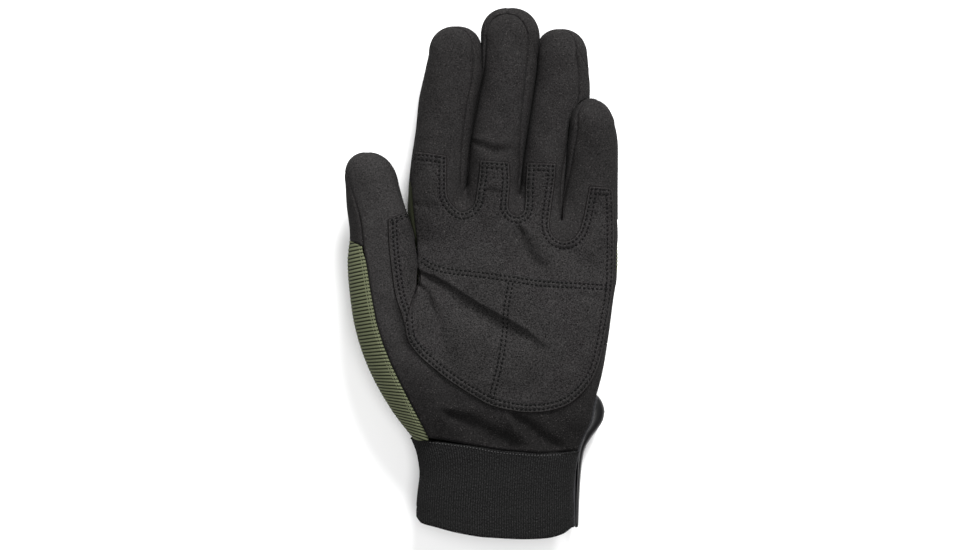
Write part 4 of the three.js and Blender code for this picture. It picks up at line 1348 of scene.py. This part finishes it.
def thumb_back_mesh():
    """The suede back of the thumb's tip"""
    cap, top = THUMB["y"][-1], 55.5
    turn = np.linspace(0, math.pi / 2, 14)
    rows = np.concatenate([np.arange(15.6, cap, 1.2), cap + (top - cap) * np.sin(turn) ** (2 / TIP_POWER)])
    low = np.minimum(rows, 46)
    left = np.where(rows < 46, edge_angle(THUMB, low, across_at(THUMB_SEAM, low)), math.pi - 0.12)
    closes = smoothstep(53.8, 55.35, rows)
    left = left * (1 - closes) + math.pi / 2 * closes
    right = (2 * math.pi + 0.08) * (1 - closes) + 2.5 * math.pi * closes
    points = tube_sheet(THUMB, rows, left, right, 48, roll=(0.6, 0.4))
    points[..., 1] -= back_boundary(points[..., 0], points[..., 2], points[..., 1].copy(), 30, 15.6)
    return grid_mesh(points[:, ::-1], weld=2e-5)


def thumb_side_sheet(pitch, high):
    """The thumb from the seam on top, round its outer side and underneath"""
    rows = np.arange(-76.3, 15.3, pitch / 6)
    left = edge_angle(THUMB, rows, across_at(THUMB_SEAM, rows))
    right = np.full(len(rows), 2 * math.pi - 0.4)
    angle = left[:, None] + (right - left)[:, None] * np.linspace(0, 1, 72)
    base = np.broadcast_to(rows[:, None], angle.shape)
    x, _, z = np.moveaxis(on_tube(THUMB, base, angle), -1, 0)
    points = on_tube(THUMB, base - back_boundary(x, z, base, 4, 15.3), angle)[:, ::-1]
    x, y, z = np.moveaxis(points, -1, 0)
    across = y - rib_slant(y) * (x - across_at(THUMB_SEAM, y)) * smoothstep(10, 24, z)
    in_palm = within(PALM, x, y, z, -1.0)
    cloth = np.stack([x + z, across], -1)
    points = ribbed(points, across, pitch, high)
    points[..., 2] -= rolled(np.linalg.norm(points - points[:, -1:], axis=2), 0.5, 0.6)
    points[..., 2] = np.maximum(points[..., 2], 0.0)
    bm = grid_mesh(points, cloth)
    hidden = in_palm.ravel() & (points[..., 1].ravel() < -6)
    bmesh.ops.delete(bm, geom=[v for v, out in zip(bm.verts, hidden) if out], context="VERTS")
    return bm


def index_side_sheet(pitch):
    """The index finger's side beside the thumb, all in the stretch cloth's dark groove tone as painted shade
    """
    rows = np.arange(6, 42, pitch / 4)
    left = edge_angle(INDEX, rows, seam_x("index", "left", rows))
    points = tube_sheet(INDEX, rows, left, np.full(len(rows), math.pi + 0.7), 20, grow=0.15, roll=(0.9, 0.2))
    # painted shade: the cloth place across the ribs is held fixed near a groove, so the strip shows no ribs
    # and takes the dark groove tone of a side in shadow
    cloth = np.stack([points[..., 2], 0 * points[..., 1] + 0.13 * pitch], -1)
    return grid_mesh(points[:, ::-1], cloth[:, ::-1])


def hand_back_sheets(pitch, high):
    """The hand's back, and above it the backs of three fingers up to their suede"""

    def right_seam(x, z, y):
        return z >= front(np.array([palm_edge(y)]), np.array([y])) - np.interp(y, [-62, -52], [3.5, 0.3])

    def left_seam(x, z, y):
        return (z > 8) & (y > 20) | (y < -4) & within(THUMB, x, y, z, -1.2) | (y > -8) & (z > 19)

    sheets = []
    for low, top, forms, centre, right, left, count in (
        (-77.5, 24.6, (PALM, *FINGERS.values()), (12.0, 12.0), right_seam, left_seam, 84),
        (24.6, 41.0, (INDEX, MIDDLE, RING), (4.0, 12.0), lambda x, z, y: z > 10, lambda x, z, y: z >= 8, 60),
    ):
        points = hull_rows(np.arange(low, top, pitch / 4), forms, centre, right, left, count)
        cloth = points[..., :2].copy()
        points = ribbed(points, points[..., 1], pitch, high)
        points[..., 1] -= 3.4 * smoothstep(-20, 25, points[..., 0]) * smoothstep(-60, -77.5, points[..., 1])
        limit = along(PALM["y"], PALM["right"], points[..., 1]) - 0.5
        points[..., 0] = np.where(points[..., 1] < -50, np.minimum(points[..., 0], limit), points[..., 0])
        points[..., 2] = np.maximum(points[..., 2], 0.0)
        sheets.append(grid_mesh(points, cloth))
    return sheets


class BuildBack(bpy.types.Operator):
    """Ribbed stretch back with the thumb's outer side, and the suede back of the thumb's tip"""

    bl_idname = "glove.back"
    bl_label = "Stretch back"

    def execute(self, context):
        sizes = context.scene.glove_sizes
        pitch, high, wall = sizes.rib_pitch / MM, sizes.rib_height / MM, sizes.wall / MM
        parts = [*hand_back_sheets(pitch, high), index_side_sheet(pitch), thumb_side_sheet(pitch, high)]
        finish_piece("back_cloth", join_meshes(parts), "stretch", ["back_panel"], wall)
        finish_piece("thumb_back_cloth", thumb_back_mesh(), "suede", ["thumb_back"], wall)
        return {"FINISHED"}


# Cuff, strap and tab

CUFF_WALL, STRAP_WALL, EDGE_WALL = 1.4, 2.0, 0.9
# Where the cuff's outline is read, half way up it
CUFF_MIDDLE = -95.0


class BuildCuff(bpy.types.Operator):
    """Elastic cuff with its open mouth"""

    bl_idname = "glove.cuff"
    bl_label = "Cuff"

    def execute(self, context):
        pitch = context.scene.glove_sizes.cuff_pitch / MM
        angle = np.linspace(0, 2 * math.pi, 421)
        share = np.concatenate(
            [[0, 0.006, 0.02, 0.04], np.linspace(0.06, 0.94, 44), 1 - np.linspace(1, 0, 13) ** 1.6 * 0.055]
        )
        middle = on_tube(PALM, CUFF_MIDDLE + 0 * angle, angle)
        high = np.interp(middle[:, 0], CUFF_SEAM[:, 0], CUFF_SEAM[:, 1]) - 0.3
        hem = smooth_line(CUFF_HEM, 0.5)
        low = np.interp(middle[:, 0], hem[:, 0], hem[:, 1]) + 1.0 * smoothstep(14, 28, middle[:, 2])
        y = low + (high - low) * share[:, None]
        points = on_tube(PALM, y, np.broadcast_to(angle, y.shape), 0.45)
        around = run_lengths(points[20][:, [0, 2]])
        around = around / around[-1] * round(around[-1] / pitch) * pitch
        cloth = np.stack([np.broadcast_to(around, y.shape), y], -1)
        wave = np.abs(np.sin(math.pi * around / pitch)) - 0.6
        sag = 0.15 * np.sin(y * 0.33 + around * 0.05) + 0.15 * np.sin(around * 0.21 + y * 0.07)
        gap = np.minimum(np.abs(y - high), 50)
        edge = np.abs(y - low)
        press = 0.16 * wave + sag - rolled(gap, 0.9, 0.3) + 0.3 * np.exp(-(((gap - 0.5) / 0.3) ** 2))
        press = press - 0.5 * np.exp(-((edge / 0.5) ** 2)) - 0.25 * np.exp(-(((edge - 5.0) / 0.5) ** 2))
        # drawn in under the suede's bulge
        shaded = np.exp(-(((points[..., 0] - 31) / 6) ** 2)) * (points[..., 2] > 16)
        press = press - 1.3 * shaded * np.exp(-((gap / 1.8) ** 2))
        normals = grid_normals(points)
        points = points + np.sign(normals[20, 105, 2]) * normals * press[..., None]
        bm = grid_mesh(points[:, ::-1], cloth[:, ::-1], weld=2e-6)
        finish_piece("cuff_cloth", bm, "elastic", ["cuff_band"], CUFF_WALL)
        return {"FINISHED"}


class BuildClosure(bpy.types.Operator):
    """Closure strap, folded edge and moulded tab"""

    bl_idname = "glove.closure"
    bl_label = "Closure"

    def execute(self, context):
        # strap: a flat band under the wrist that turns up at the little finger's side
        y, x = np.meshgrid(np.linspace(-84, -62, 26), np.linspace(-20, 43.2, 60), indexing="ij")
        points = np.stack([x, y, np.maximum(crown(PALM, x, y, 0.3, sign=-1), 2.1)], -1)
        bm = grid_mesh(points[:, ::-1])
        piece = finish_piece("closure_strap_web", bm, "webbing", ["closure_strap"])
        wall = piece.modifiers.new("web thickness", "SOLIDIFY")
        wall.thickness = STRAP_WALL * MM
        wall.offset = 1
        soft = piece.modifiers.new("soft edge", "BEVEL")
        soft.width = 0.4 * MM
        soft.segments = 2
        soft.limit_method = "ANGLE"
        # folded edge beside the cuff
        rows = np.linspace(-116, -57, 60)
        low, high = np.full(60, -0.25), np.full(60, 0.16)
        points = tube_sheet(PALM, rows, low, high, 14, grow=0.35, roll=(0.5, 0.5), plump=0.55)
        finish_piece("cuff_edge_web", grid_mesh(points[:, ::-1]), "webbing", ["cuff_binding"], EDGE_WALL)
        # tab: a domed head with a long tail, drawn in at its lower end
        head, tip = TAB["y"][-1], TAB["tip"][1]
        rows = np.concatenate([
            [-117.6, -117.59], np.linspace(-117.3, head, 70)[:-1],
            head + (tip - head) * np.sin(np.linspace(0, math.pi / 2, 12)),
        ])
        angle = np.linspace(0, 2 * math.pi, 41)
        points = on_tube(TAB, rows[:, None] + 0 * angle, 0 * rows[:, None] + angle)
        shrink = np.interp(rows, [-117.6, -117.59, -117.0], [0, 0.6, 1])[:, None, None]
        centre = points[:, :-1].mean(1, keepdims=True)
        points = centre + (points - centre) * np.where(np.arange(3) == 1, 1, shrink)
        bm = grid_mesh(points[:, ::-1], weld=2e-6)
        bmesh.ops.remove_doubles(bm, verts=bm.verts, dist=2e-5)
        bmesh.ops.recalc_face_normals(bm, faces=bm.faces)
        finish_piece("pull_tab_rubber", bm, "rubber", ["pull_tab"])
        return {"FINISHED"}


class BuildStage(bpy.types.Operator):
    """Pale floor, soft studio light and the camera over the palm"""

    bl_idname = "glove.stage"
    bl_label = "Stage"

    def execute(self, context):
        scene = context.scene
        bm = bmesh.new()
        bmesh.ops.create_grid(bm, x_segments=1, y_segments=1, size=12)
        mesh = bpy.data.meshes.new("floor")
        bm.to_mesh(mesh)
        bm.free()
        board, _, shader = new_material("painted_board", 0.9, 0.1)
        shader.inputs["Base Color"].default_value = (*srgb("#f4f4f4"), 1)
        mesh.materials.append(board)
        floor = bpy.data.objects.new("floor", mesh)
        scene.collection.objects.link(floor)
        floor.location.z = -0.0002
        scene.world = bpy.data.worlds.new("studio")
        scene.world.use_nodes = True
        sky = scene.world.node_tree.nodes["Background"]
        sky.inputs["Color"].default_value = (1, 1, 1, 1)
        sky.inputs["Strength"].default_value = 0.3
        for name, place, size, power in (
            ("key_light", (0.35, 1.2, 0.95), 0.7, 47),
            ("overhead_light", (0.0, -0.2, 2.0), 1.4, 33),
        ):
            lamp = bpy.data.lights.new(name, "AREA")
            lamp.shape, lamp.size, lamp.energy = "DISK", size, power
            light = bpy.data.objects.new(name, lamp)
            light.location = place
            light.rotation_euler = (-Vector(place)).to_track_quat("-Z", "Y").to_euler()
            scene.collection.objects.link(light)
        eye = bpy.data.cameras.new("camera")
        eye.lens, eye.sensor_width = 112, 36
        scene.camera = bpy.data.objects.new("camera", eye)
        scene.camera.location = (0.0032, -0.0007, 1.418)
        scene.collection.objects.link(scene.camera)
        scene.view_settings.view_transform = "Standard"
        return {"FINISHED"}


class GlovePanel(bpy.types.Panel):
    """Lists the glove's pieces, sizes and colours"""

    bl_idname = "VIEW3D_PT_glove"
    bl_label = "Glove"
    bl_space_type = "VIEW_3D"
    bl_region_type = "UI"
    bl_category = "Glove"

    def draw(self, context):
        for operator in OPERATORS:
            self.layout.operator(operator.bl_idname)
        for group in (context.scene.glove_sizes, context.scene.glove_colours):
            for name in group.bl_rna.properties.keys():
                if name not in ("rna_type", "name"):
                    self.layout.prop(group, name)


OPERATORS = (
    BuildPalm, BuildLayers, BuildStitches, BuildSides, BuildBack, BuildCuff, BuildClosure, BuildStage,
)
CLASSES = (GloveSizes, GloveColours, *OPERATORS, GlovePanel)


def register():
    for item in CLASSES:
        bpy.utils.register_class(item)
    bpy.types.Scene.glove_sizes = PointerProperty(type=GloveSizes)
    bpy.types.Scene.glove_colours = PointerProperty(type=GloveColours)


def unregister():
    del bpy.types.Scene.glove_sizes
    del bpy.types.Scene.glove_colours
    for item in reversed(CLASSES):
        bpy.utils.unregister_class(item)


def main():
    register()
    bpy.ops.glove.palm()
    bpy.ops.glove.layers()
    bpy.ops.glove.stitches()
    bpy.ops.glove.sides()
    bpy.ops.glove.back()
    bpy.ops.glove.cuff()
    bpy.ops.glove.closure()
    bpy.ops.glove.stage()


if __name__ == "__main__":
    main()
